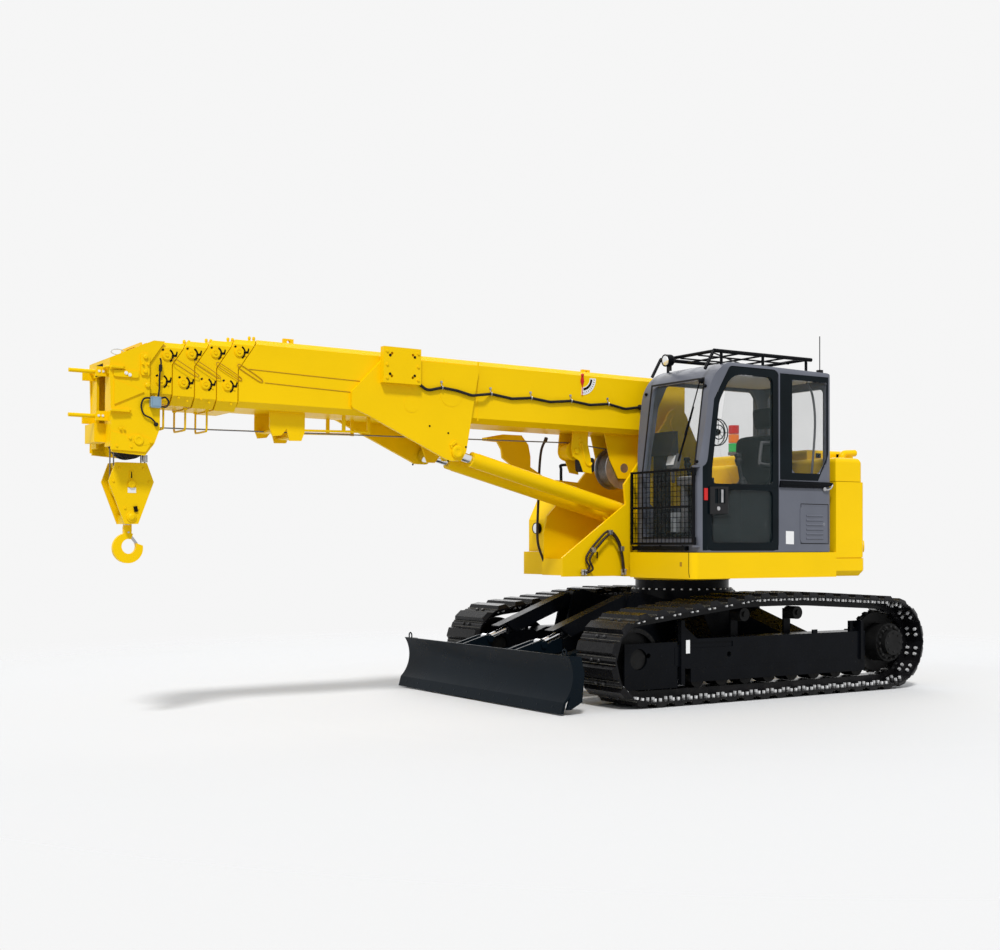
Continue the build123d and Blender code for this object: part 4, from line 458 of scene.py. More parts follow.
def build_world():
    """Soft pale light; the camera, mirrors and glass see a neutral ground instead."""
    world = bpy.data.worlds.new("studio")
    bpy.context.scene.world = world
    world.use_nodes = True
    tree = world.node_tree
    light = tree.nodes["Background"]
    light.inputs["Color"].default_value = (0.93, 0.96, 1.0, 1)
    light.inputs["Strength"].default_value = 0.62
    shown = node(tree, "Background", 0, {"Color": (0.92, 0.92, 0.92, 1), "Strength": 1.0})
    path = tree.nodes.new("ShaderNodeLightPath")
    seen = path.outputs["Is Camera Ray"]
    for kind in ("Is Glossy Ray", "Is Transmission Ray"):
        seen = node(tree, "Math", 0, {0: seen, 1: path.outputs[kind]}, operation="MAXIMUM")
    both = node(tree, "MixShader", 0, {"Fac": seen, 1: light.outputs[0], 2: shown})
    tree.links.new(both, tree.nodes["World Output"].inputs["Surface"])


def build_floor():
    """Plain pale floor that fades out round the machine."""
    mesh = bpy.data.meshes.new("floor")
    bm = bmesh.new()
    bmesh.ops.create_grid(bm, x_segments=8, y_segments=8, size=30)
    bm.to_mesh(mesh)
    bm.free()
    floor = bpy.data.objects.new("floor", mesh)
    bpy.context.scene.collection.objects.link(floor)
    paint, tree, shader = new_tree("floor")
    shader.inputs["Base Color"].default_value = (0.69, 0.69, 0.69, 1)
    shader.inputs["Roughness"].default_value = 0.9
    place = tree.nodes.new("ShaderNodeTexCoord").outputs["Object"]
    distance = node(tree, "VectorMath", "Value", {0: place}, operation="LENGTH")
    fade = node(tree, "MapRange", "Result", {"Value": distance, "From Min": 4.0, "From Max": 9.0})
    clear = node(tree, "BsdfTransparent", 0, {})
    both = node(tree, "MixShader", 0, {"Fac": fade, 1: shader.outputs[0], 2: clear})
    tree.links.new(both, tree.nodes["Material Output"].inputs["Surface"])
    mesh.materials.append(paint)


def build_stage():
    """Floor, soft light and the camera."""
    build_world()
    build_floor()
    for name, aim, power, softness in (("key", (-0.42, -0.62, -0.95), 2.4, 9),
            ("fill", (-0.9, 0.1, -0.35), 0.5, 50), ("rim", (0.5, 0.8, -0.6), 0.5, 40)):
        lamp = bpy.data.lights.new(name, "SUN")
        lamp.energy = power
        lamp.angle = math.radians(softness)
        place_object(name, lamp, aim)
    lens = bpy.data.cameras.new("camera")
    lens.sensor_width = 36
    lens.lens = LENS_MM
    lens.shift_y = SHIFT_UP
    look = (-math.sin(HEADING), -math.cos(HEADING), 0)
    bpy.context.scene.camera = place_object("camera", lens, look, EYE)
    bpy.context.scene.view_settings.view_transform = "Standard"


build_stage()

# ---------------------------------------------------------------- sizes of the machine
SHEAVE_GROOVE_R = 0.109
DRUM_ROPE_R = 0.147
ROPE_SIDE = 0.042
ROPE_R = 0.005
BOOM_TOP = 0.382
BOOM_LOW = -0.112
BOOM_HALF = 0.25
FORK_SIDE = 0.28
BOLTING_SIDE = 0.335              # outer face of the bolting plates
BRACKET_SIDE = 0.349
HEAD_SIDE = 0.2405                # outer face of the head's cheeks
HEAD_PIN = (4.65, -0.383)         # along and above the foot, like the two below
ROD_PIN = (2.156, -0.345)
SCALE_MID = (0.948, 0.322)
BLOCK_SIDE = 0.092
BASE_EDGE = 3.786                 # upper end of the first collar's rear edge
COLLAR_STEP = 0.158
COLLAR_SLANT = 0.155
COLLAR_KNEE = 0.15
SECTIONS = (2, 3, 4, 5)
CAB_SIDE = 1.22
CAB_MID = 0.7975
CAB_FLOOR = 1.224
HANDLE_SIDE = 1.2315
CAB_FRONT = 0.83
SKIRT_FRONT = 0.9035
CAB_CORNER = 0.075
CAB_BEND_Z = 1.85                # the windscreen leans back above this height
CAB_LEAN = 0.082 / 0.59
HOOD_TOP = 2.075


def collar_edge(number, t):
    """Station of a collar's rear edge at a height."""
    share = (BOOM_TOP - t) / (BOOM_TOP - COLLAR_KNEE)
    return BASE_EDGE + COLLAR_STEP * (number - 2) + COLLAR_SLANT * min(max(share, 0), 1)


def collar_half(number):
    """Half-width of a section's collar."""
    return BOOM_HALF - 0.006 * (number - 1)


def screen_x(z, proud=0.0):
    """Front face of the cab at a height."""
    return CAB_FRONT + proud - max(0.0, z - CAB_BEND_Z) * CAB_LEAN


def arc_points(centre, radius, start, end, count):
    """Points (x, z) on an arc, angles in degrees."""
    return [(centre[0] + radius * math.cos(math.radians(start + (end - start) * k / (count - 1))),
        centre[1] + radius * math.sin(math.radians(start + (end - start) * k / (count - 1))))
        for k in range(count)]


# ---------------------------------------------------------------- ropes
def build_ropes():
    """Hoist rope: on the drum, along the boom in five stretches, and the falls."""
    drum = Vector(joints["winch_turn"]["pos_m"])
    wound = Piece("rope_on_drum", "winch_drum", ROPE)
    for turn_index in range(13):
        y = -0.066 + turn_index * 0.011
        wound.pipe([drum + spoke(a, DRUM_ROPE_R, y) for a in turn(28)], ROPE_R, sides=6, smooth=1,
            loop=True)
    wound.done()
    roller_s, lead_t = 0.892, -0.195
    lead = Piece("rope_lead", "boom", ROPE)
    lead.pipe([on_boom(0.39, 0.0, -0.24), on_boom(roller_s, 0.0, lead_t)], ROPE_R, 8, 1)
    lead.done()
    end_s, end_t = HEAD_PIN[0], HEAD_PIN[1] + SHEAVE_GROOVE_R
    chain = ["boom"] + [f"boom_{n}" for n in range(2, 7)]
    for index, (first, second) in enumerate(zip(chain, chain[1:])):
        ends = []
        for share in (index / 5, (index + 1) / 5):
            ends.append(on_boom(roller_s + (end_s - roller_s) * share, 0.0,
                lead_t + (end_t - lead_t) * share))
        steps = [ends[0].lerp(ends[1], k / 6) for k in range(7)]
        run = Piece(f"rope_run_{index + 1}", None, ROPE)
        run.pipe(steps, ROPE_R, 8, 1)
        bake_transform(run.done())
    half = [(0.005, 0.104), (0.01, 0.118), (0.013, 0.118), (0.014, 0.05)]
    profile = [(-along, radius) for along, radius in half[::-1]] + half
    Piece("lead_sheave", "head_sheaves", RUBBER).lathe(SHEAVE, SIDE, profile, 36, closed=False).done()
    block_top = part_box("hook_block")[1].z
    for side, word, _ in SIDES:
        y = side * ROPE_SIDE
        over = Piece(f"rope_over_sheave_{word}", "limit_weight", ROPE)
        over.pipe([SHEAVE + spoke(math.pi * k / 14, SHEAVE_GROOVE_R, y) for k in range(15)], ROPE_R, 8, 1)
        over.done()
        for way in (-1, 1):
            top = SHEAVE + Vector((way * SHEAVE_GROOVE_R, y, 0))
            low = Vector((top.x, y, block_top - 0.13))
            fall = Piece(f"rope_fall_{word[0]}{'f' if way > 0 else 'b'}", None, ROPE)
            fall.pipe([top.lerp(low, k / 8) for k in range(9)], ROPE_R, 8, 1)
            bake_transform(fall.done())


# ---------------------------------------------------------------- boom
def build_collar_fittings():
    """Wear-pad adjusters, ears, painted shadows beside the adjusters and drop hoops on every collar."""
    for number in SECTIONS:
        body = f"boom_{number}"
        half = collar_half(number)
        paint = Piece(f"collar_fittings_{number}", body, YELLOW)
        dark = Piece(f"collar_painted_shadows_{number}", body, DARK)
        top = BOOM_TOP - 0.022 * (number - 1) + 0.012
        for side, _, out in SIDES:
            for t in (top - 0.095, 0.03):
                s = collar_edge(number, t) + COLLAR_STEP / 2
                face = side * (half + 0.008)
                paint.lathe(on_boom(s, face, t), out, [(-0.004, 0.031), (0.004, 0.029), (0.004, 0.017),
                    (0.0015, 0.015)])
                paint.bolt(on_boom(s, face + side * 0.001, t), out, 0.01, 0.009)
                # painted shadow: dark arcs and a tail on the rear side of each adjuster boss, where its
                # shadow falls
                for angle, step in ((120, 13), (188, 13), (45, 5)):
                    arc = [(s + math.cos(math.radians(angle + k * step)) * r,
                        t + math.sin(math.radians(angle + k * step)) * r) for r, ks in ((0.052, range(5)),
                        (0.04, range(4, -1, -1))) for k in ks]
                    dark.boom_slab(arc, side * half, side * 0.002)
                dark.boom_slab(((-0.034, -0.006), (-0.034, 0.006), (-0.064, 0.012), (-0.07, 0.034),
                    (-0.078, 0.03), (-0.072, -0.004)), side * half, side * 0.0022, (s, t))
                paint.bolt(on_boom(s - 0.052, side * half, t - 0.02), out, 0.007, 0.007)
            for shift in (0.018, 0.052):
                s = BASE_EDGE + COLLAR_STEP * (number - 2) + shift
                paint.lathe(on_boom(s, side * (half - 0.05), top - 0.002), BOOM_UP,
                    [(0, 0.011), (0.012, 0.008), (0.014, 0.011), (0.028, 0.011), (0.034, 0.006)], 12)
            for t in (-0.075, -0.095):
                s = collar_edge(number, t) + COLLAR_STEP / 2
                paint.bolt(on_boom(s + (t + 0.085) * 3, side * half, t), out, 0.007, 0.006)
        paint.done()
        dark.done()
    for number in SECTIONS[1:]:
        s = BASE_EDGE + COLLAR_STEP * (number - 2) + COLLAR_SLANT + 0.02
        top_t, low_t = BOOM_LOW - 0.02, -0.285
        hoop = Piece(f"rope_hoop_{number}", f"boom_{number}", YELLOW)
        near = [(0.115, top_t), (0.115, low_t + 0.025), (0.108, low_t + 0.007), (0.09, low_t)]
        line = near + [(-y, t) for y, t in reversed(near)]
        hoop.pipe([on_boom(s, y, t) for y, t in line], 0.0075, 10, 3)
        for y in (-0.115, 0.115):
            hoop.lathe(on_boom(s, y, top_t + 0.002), -BOOM_UP, [(0, 0.016), (0.01, 0.016), (0.016, 0.01)],
                14)
        hoop.done()


def build_boom_lines():
    """Long narrow guide loops on the sections and the two lines along the base."""
    for number in SECTIONS:
        # each loop lies on its collar and slides over the next larger section
        half = BOOM_HALF + 0.004
        s = collar_edge(number, 0.2) + 0.02
        piece = Piece(f"guide_loop_{number}", f"boom_{number}", SHADED)
        high = [(s + 0.005, 0.19), (s - 0.07, 0.152), (s - 0.145, 0.108)]
        low = [(s - 0.15, 0.078), (s - 0.09, 0.108), (s - 0.005, 0.155)]
        ring = high + [(s - 0.172, 0.084)] + low + [(s + 0.018, 0.175)]
        piece.pipe([on_boom(a, half + 0.001, b) for a, b in ring], 0.0026, 8, 5, loop=True)
        piece.done()
    line = Piece("base_side_lines", "boom", SHADED)
    for t, s0, s1 in ((0.15, 2.87, 3.86), (0.062, 2.93, 3.74)):
        line.pipe([on_boom(s0, BOOM_HALF + 0.002, t - 0.01), on_boom((s0 + s1) / 2, BOOM_HALF + 0.002, t),
            on_boom(s1, BOOM_HALF + 0.002, t + 0.012)], 0.0022, 8, 4)
    line.done()


def build_hose_clips():
    """Spring clips that hold the hose on the boom, and its end sleeve."""
    clips = Piece("hose_clips", "boom", STEEL)
    for s, t, y in ((0.687, 0.123, BOOM_HALF), (1.065, 0.123, BOOM_HALF), (1.458, 0.12, BOOM_HALF),
            (1.838, 0.126, BOOM_HALF), (2.302, 0.139, FORK_SIDE)):
        centre = on_boom(s, y + 0.014, t)
        arc = [centre + SIDE * math.sin(a) * 0.0145 + BOOM_UP * math.cos(a) * 0.0145
            for a in [math.radians(-20 + 25 * k) for k in range(9)]]
        clips.pipe([on_boom(s, y + 0.001, t + 0.052), on_boom(s, y + 0.003, t + 0.03)] + arc, 0.0038, 6, 2)
        clips.bolt(on_boom(s, y + 0.001, t + 0.045), SIDE, 0.008, 0.01)
    clips.done()
    Piece("hose_sleeves", "boom", PLASTIC).lathe(on_boom(0.345, BOOM_HALF + 0.001, 0.118), SIDE,
        [(0, 0.024), (0.006, 0.024), (0.008, 0.0195), (0.026, 0.0195), (0.029, 0.016)]).done()


def build_angle_scale():
    """Boom angle dial with its hanging pointer, numbers left off."""
    y = BOOM_HALF + 0.001
    plate = Piece("angle_scale", "boom", WHITE)
    outer = arc_points(SCALE_MID, 0.14, 178, 272, 13)
    inner = arc_points(SCALE_MID, 0.078, 272, 178, 13)
    plate.boom_slab(outer + inner, y, 0.002)
    plate.done()
    marks = Piece("angle_scale_marks", "boom", DARK, "black_plastic")
    band = arc_points(SCALE_MID, 0.104, 184, 262, 11) + arc_points(SCALE_MID, 0.084, 262, 184, 11)
    marks.boom_slab(band, y + 0.002, 0.001)
    for k in range(10):
        a = math.radians(184 + k * 9.0)
        u, v = (math.cos(a), math.sin(a)), (-math.sin(a), math.cos(a))
        corners = [(SCALE_MID[0] + u[0] * r + v[0] * w, SCALE_MID[1] + u[1] * r + v[1] * w)
            for r, w in oblong(0.114, -0.002, 0.13, 0.002)]
        marks.boom_slab(corners, y + 0.002, 0.001)
    marks.done()
    pointer = Piece("angle_pointer", "boom", RED)
    pointer.boom_slab(((-0.006, 0.034), (0.006, 0.034), (0.019, -0.03), (0.003, -0.062), (0.002, -0.15),
        (-0.002, -0.15), (-0.003, -0.062), (-0.019, -0.03)), y + 0.004, 0.003, SCALE_MID)
    pointer.lathe(on_boom(SCALE_MID[0], y, SCALE_MID[1] + 0.024), SIDE,
        [(0, 0.012), (0.012, 0.012), (0.014, 0.008)], 14)
    pointer.done()


def build_load_sensor():
    """Load sensor and its cables on the boom head."""
    face = HEAD_SIDE
    sensor = Piece("load_sensor", "boom_6", BLUE_GREY)
    sensor.boom_slab(((4.505, -0.088), (4.512, -0.082), (4.57, -0.082), (4.578, -0.09), (4.578, -0.15),
        (4.57, -0.158), (4.512, -0.158), (4.505, -0.15)), face + 0.006, 0.034)
    sensor.boom_slab(oblong(4.516, -0.146, 4.567, -0.094), face + 0.04, 0.004)
    sensor.bolts([on_boom(s, face + 0.04, t) for s in (4.511, 4.572) for t in (-0.089, -0.151)], SIDE,
        0.004, 0.003)
    sensor.done(bevel=0.002)
    cable = Piece("sensor_cables", "boom_6", RUBBER)
    front_lead = ((4.572, -0.092), (4.618, -0.1), (4.637, -0.15), (4.617, -0.207), (4.564, -0.233),
        (4.53, -0.27))
    rear_lead = ((4.508, -0.092), (4.47, -0.082), (4.447, -0.11), (4.462, -0.146), (4.508, -0.146))
    top_lead = ((4.509, 0.185), (4.502, 0.15), (4.512, 0.06), (4.512, -0.02), (4.52, -0.086))
    for points in (front_lead, rear_lead, top_lead):
        cable.pipe(boom_points(points, face + 0.016), 0.0062, 8, 6)
    cable.round(on_boom(4.505, face + 0.016, 0.14), on_boom(4.507, face + 0.016, 0.095), 0.012, sides=12)
    cable.lathe(on_boom(4.53, face - 0.002, -0.27), SIDE, [(0, 0.014), (0.02, 0.014), (0.024, 0.009)], 12)
    cable.done()


def build_head_fittings():
    """Pin keepers, bracket plates, bars and bolts on the cheeks of the head."""
    face = HEAD_SIDE
    cut_square = ((-1, -0.8), (-0.8, -1), (0.8, -1), (1, -0.8), (1, 0.8), (0.8, 1), (-0.8, 1), (-1, 0.8))
    for side, word, out in SIDES:
        paint = Piece(f"head_fittings_{word}", "boom_6", YELLOW)
        pin_s, pin_t = HEAD_PIN
        paint.lathe(on_boom(pin_s, side * (face + 0.0125), pin_t), out,
            [(0, 0.034), (0.006, 0.032), (0.006, 0.018), (0.003, 0.016)])
        paint.boom_slab(((-0.105, -0.02), (-0.095, 0.004), (-0.03, 0.022), (0.03, 0.034), (0.078, 0.02),
            (0.07, -0.006), (0.02, -0.022), (-0.03, -0.036)), side * face, side * 0.011, HEAD_PIN)
        paint.bolts([on_boom(pin_s + a, side * (face + 0.011), pin_t + b)
            for a, b in ((-0.086, -0.01), (0.06, 0.012))], out, 0.01, 0.009)
        # bracket plates with bolts near the upper edges of the cheek: place and half sizes
        for s, t, long, high in ((4.61, 0.135, 0.03, 0.075), (4.74, 0.06, 0.085, 0.022)):
            corners = [on_boom(s + a * long, side * face, t + b * high) for a, b in cut_square]
            paint.slab(corners, out * 0.012)
        for s, t, size in ((4.61, 0.185, 0.016), (4.61, 0.085, 0.013), (4.592, 0.135, 0.008),
                (4.628, 0.135, 0.008), (4.59, -0.005, 0.018)):
            lift = 0.0125 if t > 0.05 else 0.0
            paint.lathe(on_boom(s, side * (face + lift), t), out, [(0, size), (0.01, size),
                (0.014, size * 0.7)], 16)
        paint.bolts(boom_points(((4.75, -0.312), (4.775, -0.312), (4.7, -0.43), (4.8, -0.43)),
            side * (face + 0.01)), out, 0.008, 0.006)
        for t, s0 in ((0.094, 4.745), (-0.198, 4.7)):
            paint.boom_slab(((s0, -0.003), (4.85, -0.009), (4.85, 0.009), (s0, 0.003)), side * face,
                side * 0.013, (0, t))
            flange = ((s0, face), (s0 + 0.02, 0.268), (4.846, 0.276), (4.846, face))
            paint.slab([on_boom(s, side * y, t) for s, y in flange], BOOM_UP * 0.014)
        # rails beside the jib pins and the lip of the upper front bar
        rail = ((4.8, 0.232, 0.108), (4.852, 0.232, 0.104), (4.865, 0.215, 0.102), (4.868, 0.12, 0.1))
        paint.pipe([on_boom(s, side * y, t) for s, y, t in rail], 0.009, 10, 4)
        paint.done(bevel=0.0015)


def build_head_front():
    """Bolts, lifting ring and a window of painted shade at the front of the head."""
    face = HEAD_SIDE
    bolts = Piece("jib_pin_bolts", "boom_6", NUT)
    for t in (0.075, -0.225):
        for y in (-0.16, 0.16):
            way = math.copysign(1, y)
            bolts.bolts([on_boom(s, y + way * 0.0105, t) for s in (4.872, 4.9)], SIDE * way, 0.007, 0.006)
    bolts.bolts(boom_points(((4.742, 0.066), (4.716, 0.055)), face + 0.012), SIDE, 0.01, 0.009)
    bolts.done()
    ring = [on_boom(4.795 + 0.045 * math.cos(a), 0.232 + 0.004 * math.sin(a), 0.206 + 0.018 * math.sin(a))
        for a in turn(14)]
    Piece("head_lifting_ring", "boom_6", WIRE).pipe(ring, 0.0035, 8, 2, loop=True).done()
    # dark sheet: painted shade in the opening of the head's front
    window = [on_boom(4.8505, y, t) for y, t in oblong(-0.085, 0.064, 0.085, 0.14)]
    Piece("head_front_opening_shade", "boom_6", DARK).slab(window, BOOM_DIR * 0.001).done()


def build_block_fittings():
    """Sheave pin, rope socket, lock and bare plate on the hook block, and the hook latch."""
    low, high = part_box("hook_block")
    x = (low.x + high.x) / 2
    for side, word, out in SIDES:
        face = side * BLOCK_SIDE
        paint = Piece(f"block_fittings_{word}", "hook_block", YELLOW)
        paint.lathe((x, face, 1.44), out, [(-0.002, 0.036), (0.006, 0.036), (0.009, 0.033), (0.009, 0.024),
            (0.014, 0.024), (0.02, 0.014)])
        paint.lathe((x, face + side * 0.0095, 1.665), out, [(0, 0.026), (0.004, 0.024), (0.004, 0.012),
            (0.002, 0.01)])
        paint.bolts([(x + a, face, b) for a, b in ((-0.085, 1.775), (0.085, 1.775), (-0.125, 1.685),
            (0.125, 1.685), (-0.045, 1.5), (0.045, 1.5))], out, 0.008, 0.007)
        paint.side_slab(((-0.014, 1.705), (0.014, 1.705), (0.014, 1.745), (0.0, 1.765), (-0.014, 1.745)),
            face, side * 0.007, (x, 0))
        paint.done(bevel=0.0012)
        # dark patches: painted shade in the lock's slot and above the sheave pin
        dark = Piece(f"block_slot_shade_{word}", "hook_block", DARK)
        dark.side_slab(((-0.004, 1.708), (0.006, 1.708), (0.004, 1.752), (-0.002, 1.752)), face,
            side * 0.0085, (x, 0))
        dark.side_slab(((-0.014, 1.478), (0.01, 1.474), (0.017, 1.512), (-0.008, 1.516)), face, side * 0.01,
            (x - 0.03, 0))
        dark.done()
        Piece(f"block_plate_{word}", "hook_block", WHITE).side_slab(oblong(-0.032, 1.606, 0.026, 1.642),
            face, side * 0.0015, (x, 0)).done()
    latch = Piece("hook_latch", "hook", STEEL)
    latch.slab([(4.995, -0.012, 1.335), (4.978, -0.012, 1.345), (4.915, -0.012, 1.262),
        (4.905, -0.012, 1.225), (4.917, -0.012, 1.222), (4.928, -0.012, 1.254)], (0, 0.024, 0))
    latch.round((4.982, -0.024, 1.336), (4.982, 0.024, 1.336), 0.008, sides=14)
    latch.done(bevel=0.002)
    _, hook_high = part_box("hook")
    Piece("hook_collar", "hook", NUT).lathe((4.98405, 0, hook_high.z - 0.105), UP,
        [(0, 0.026), (0.004, 0.03), (0.01, 0.03), (0.013, 0.026)], 24, closed=False).done()


def build_boom_fittings():
    """Painted shade in holes, pin bosses and bolts on the boom base, its edge strips and the sensor under
    it.
    """
    for side, word, out in SIDES:
        # dark discs: painted shade standing for the insides of holes
        dark = Piece(f"boom_hole_shade_{word}", "boom", DARK)
        for s, t in ((2.565, 0.345), (2.565, 0.205), (2.775, 0.345), (2.775, 0.205)):
            dark.lathe(on_boom(s, side * BOLTING_SIDE, t), out, [(0, 0.011), (0.0015, 0.011)], 16)
        for s, t in ((2.235, -0.205), (2.075, -0.305), (2.235, -0.42), (2.4, -0.16)):
            dark.lathe(on_boom(s, side * (FORK_SIDE + 0.0005), t), out, [(0, 0.008), (0.0015, 0.008)], 12)
        dark.done()
        paint = Piece(f"boom_pins_{word}", "boom", YELLOW)
        paint.lathe(on_boom(ROD_PIN[0], side * (FORK_SIDE + 0.0155), ROD_PIN[1]), out,
            [(0, 0.045), (0.004, 0.045), (0.008, 0.041), (0.008, 0.02), (0.005, 0.018)])
        paint.boom_slab(((0.052, 0.02), (0.066, 0.05), (0.02, 0.088), (0.004, 0.074), (0.034, 0.046)),
            side * FORK_SIDE, side * 0.012, ROD_PIN)
        paint.bolts([on_boom(ROD_PIN[0] + 0.045, side * (FORK_SIDE + 0.012), ROD_PIN[1] + 0.052)], out,
            0.009, 0.008)
        paint.bolts([on_boom(s, side * BOLTING_SIDE, t) for s in (2.535, 2.8)
            for t in (0.175, 0.275, 0.375)], out, 0.011, 0.009)
        paint.done(bevel=0.0015)
    boots = Piece("boom_sensor_box", "boom", RUBBER)
    outline = [(0.7, -0.33), (0.715, -0.318), (0.845, -0.318), (0.862, -0.333), (0.855, -0.425),
        (0.84, -0.44), (0.712, -0.44), (0.698, -0.425)]
    boots.boom_slab(outline, 0.034, 0.066)
    boots.done(bevel=0.006)
    hang = Piece("boom_sensor_hanger", "boom", YELLOW)
    hang.pipe(boom_points(((0.835, -0.2), (0.815, -0.3), (0.79, -0.37), (0.752, -0.385), (0.735, -0.36)),
        0.106), 0.008, 10, 4)
    hang.boom_slab(((0.8, -0.24), (0.86, -0.24), (0.85, -0.32), (0.76, -0.32)), 0.034, 0.008)
    hang.bolts([on_boom(0.852, 0.1025, t) for t in (-0.165, -0.205, -0.245)], SIDE, 0.01, 0.009)
    hang.done(bevel=0.0015)
    strip = Piece("boom_edge_strips", "boom", YELLOW)
    for side in (-1, 1):
        strip.boom_slab(((1.945, BOOM_TOP - 0.01), (1.957, BOOM_TOP - 0.01), (1.957, BOOM_LOW + 0.02),
            (1.945, BOOM_LOW + 0.02)), side * BOOM_HALF, side * 0.003)
    strip.done()


# ---------------------------------------------------------------- cab
def build_window_bands():
    """Dark band of the side window, gasket of the windscreen and the cab's fine seams."""
    outer = [(-0.012, 1.78), (-0.44, 1.78), (-0.558, 2.0), (-0.558, 2.646), (-0.012, 2.646)]
    inner = [(-0.145, 1.838), (-0.462, 1.838), (-0.54, 1.96), (-0.54, 2.6), (-0.145, 2.6)]
    Piece("side_window_band", "upper", DOOR, "cab_grey").side_ring(outer, inner, CAB_SIDE - 0.002,
        0.0045).done()
    gasket = Piece("screen_gasket", "upper", RUBBER)
    wide = 0.014
    rows = []
    for y, inward in ((0.484, wide), (1.151, -wide)):
        rows.append([(z, y, z + rise, y + inward) for z, rise in ((1.298, wide), (CAB_BEND_Z, 0),
            (2.572, -wide))])
    rows = rows[0] + rows[1][::-1]
    outer = [(screen_x(z), y, z) for z, y, _, _ in rows]
    inner = [(screen_x(z), y, low) for z, _, low, y in rows]
    gasket.ring(outer, inner, (0.004, 0, 0.0005))
    gasket.done()
    outer = [(-0.243, 1.588), (-0.561, 1.586), (-0.563, 1.254), (-0.243, 1.256)]
    inner = [(-0.248, 1.583), (-0.556, 1.581), (-0.558, 1.259), (-0.248, 1.261)]
    Piece("cab_seams", "upper", DARK).side_ring(outer, inner, CAB_SIDE - 0.001, 0.002).done()


def build_side_rail():
    """Rail beside the cab with its lever, and a lock."""
    rail = Piece("side_rail", "upper", BLACK, "frame_black")
    rail.side_slab([(0.0, 1.716), (-0.01, 1.772), (-0.6, 1.768), (-0.606, 1.745), (-0.48, 1.716)],
        CAB_SIDE - 0.004, 0.02)
    rail.slab([(-0.02, CAB_SIDE + 0.0145, 1.735), (-0.56, CAB_SIDE + 0.0145, 1.735),
        (-0.56, CAB_SIDE + 0.0145, 1.756), (-0.02, CAB_SIDE + 0.0145, 1.756)], (0, 0.006, 0))
    rail.done(bevel=0.004)
    lever = Piece("rail_latch", "upper", STEEL)
    lever.pipe([(-0.5, CAB_SIDE + 0.012, 1.712), (-0.535, CAB_SIDE + 0.017, 1.706),
        (-0.575, CAB_SIDE + 0.017, 1.722), (-0.598, CAB_SIDE + 0.012, 1.748)], 0.007, 10, 5)
    lever.lathe((-0.508, CAB_SIDE, 1.712), SIDE, [(0, 0.018), (0.014, 0.018), (0.018, 0.013)], 18)
    lever.lathe((-0.507, CAB_SIDE - 0.001, 1.419), SIDE, [(0, 0.012), (0.004, 0.012), (0.006, 0.008),
        (0.003, 0.006)], 18)
    lever.done()


def build_door_handle():
    """Door handle in its well, reflector and the bare plates."""
    handle = Piece("door_handle", "upper", PLASTIC)
    box = [(0.748, 1.49), (0.748, 1.704), (0.56, 1.708), (0.56, 1.496)]
    well = oblong(0.592, 1.575, 0.7, 1.69)
    handle.side_ring(box, well, HANDLE_SIDE, 0.006)
    handle.pipe([(0.664, 1.2365, 1.572), (0.664, 1.24, 1.59), (0.664, 1.2405, 1.63), (0.664, 1.24, 1.675),
        (0.664, 1.2365, 1.694)], 0.0044, 10, 5)
    handle.done(bevel=0.0015)
    grip = Piece("door_handle_face", "upper", STEEL, "bright_rod")
    grip.side_slab(oblong(0.612, 1.582, 0.634, 1.684), HANDLE_SIDE, 0.006)
    grip.lathe((0.663, 1.237, 1.534), SIDE, [(0, 0.016), (0.003, 0.016), (0.004, 0.011), (0.002, 0.009)],
        20)
    grip.done(bevel=0.001)
    Piece("door_reflector", "upper", RED).side_slab(oblong(0.762, 1.598, 0.794, 1.692), 1.2135,
        0.011).done(bevel=0.001)
    Piece("bare_plates", "upper", WHITE).side_slab([(-0.077, 1.255), (-0.077, 1.361), (-0.166, 1.358),
        (-0.166, 1.252)], CAB_SIDE - 0.001, 0.0018).done()


def build_wiper():
    """Wiper arm and blade on the windscreen."""
    wiper = Piece("screen_wiper", "upper", BLACK)
    line = [(1.118, 2.535), (1.095, 2.44), (1.05, 2.27), (1.005, 2.12)]
    wiper.pipe([(screen_x(z, 0.022), y, z) for y, z in line], 0.005, 8, 4)
    wiper.lathe((screen_x(2.545, -0.002), 1.122, 2.545), (1, 0, 0.14),
        [(0, 0.022), (0.02, 0.02), (0.03, 0.014)], 18)
    blade = [(1.06, 2.345), (1.02, 2.18), (0.975, 2.02), (0.945, 1.915)]
    for lift, size in ((0.005, 0.0045), (0.013, 0.006)):
        wiper.pipe([(screen_x(z, lift), y, z) for y, z in blade], size, 8, 4)
    wiper.done()


def build_roof_lamp():
    """Glass and bezel of the lamp on the roof."""
    lens = Piece("roof_lamp_glass", "upper", LENS)
    lamp = Vector((0.6925, 0.615, 2.767))
    lens.lathe(lamp, (1, 0, -0.1), [(-0.004, 0.04), (0.0, 0.04), (0.003, 0.03), (0.0045, 0.014),
        (0.005, TIP_R)], 24)
    lens.done()
    Piece("roof_lamp_bezel", "upper", BLACK).lathe(lamp, (1, 0, -0.1),
        [(-0.055, 0.03), (-0.05, 0.049), (0.002, 0.051), (0.004, 0.048), (0.0, 0.042), (-0.01, 0.04)], 24,
        closed=False).done()


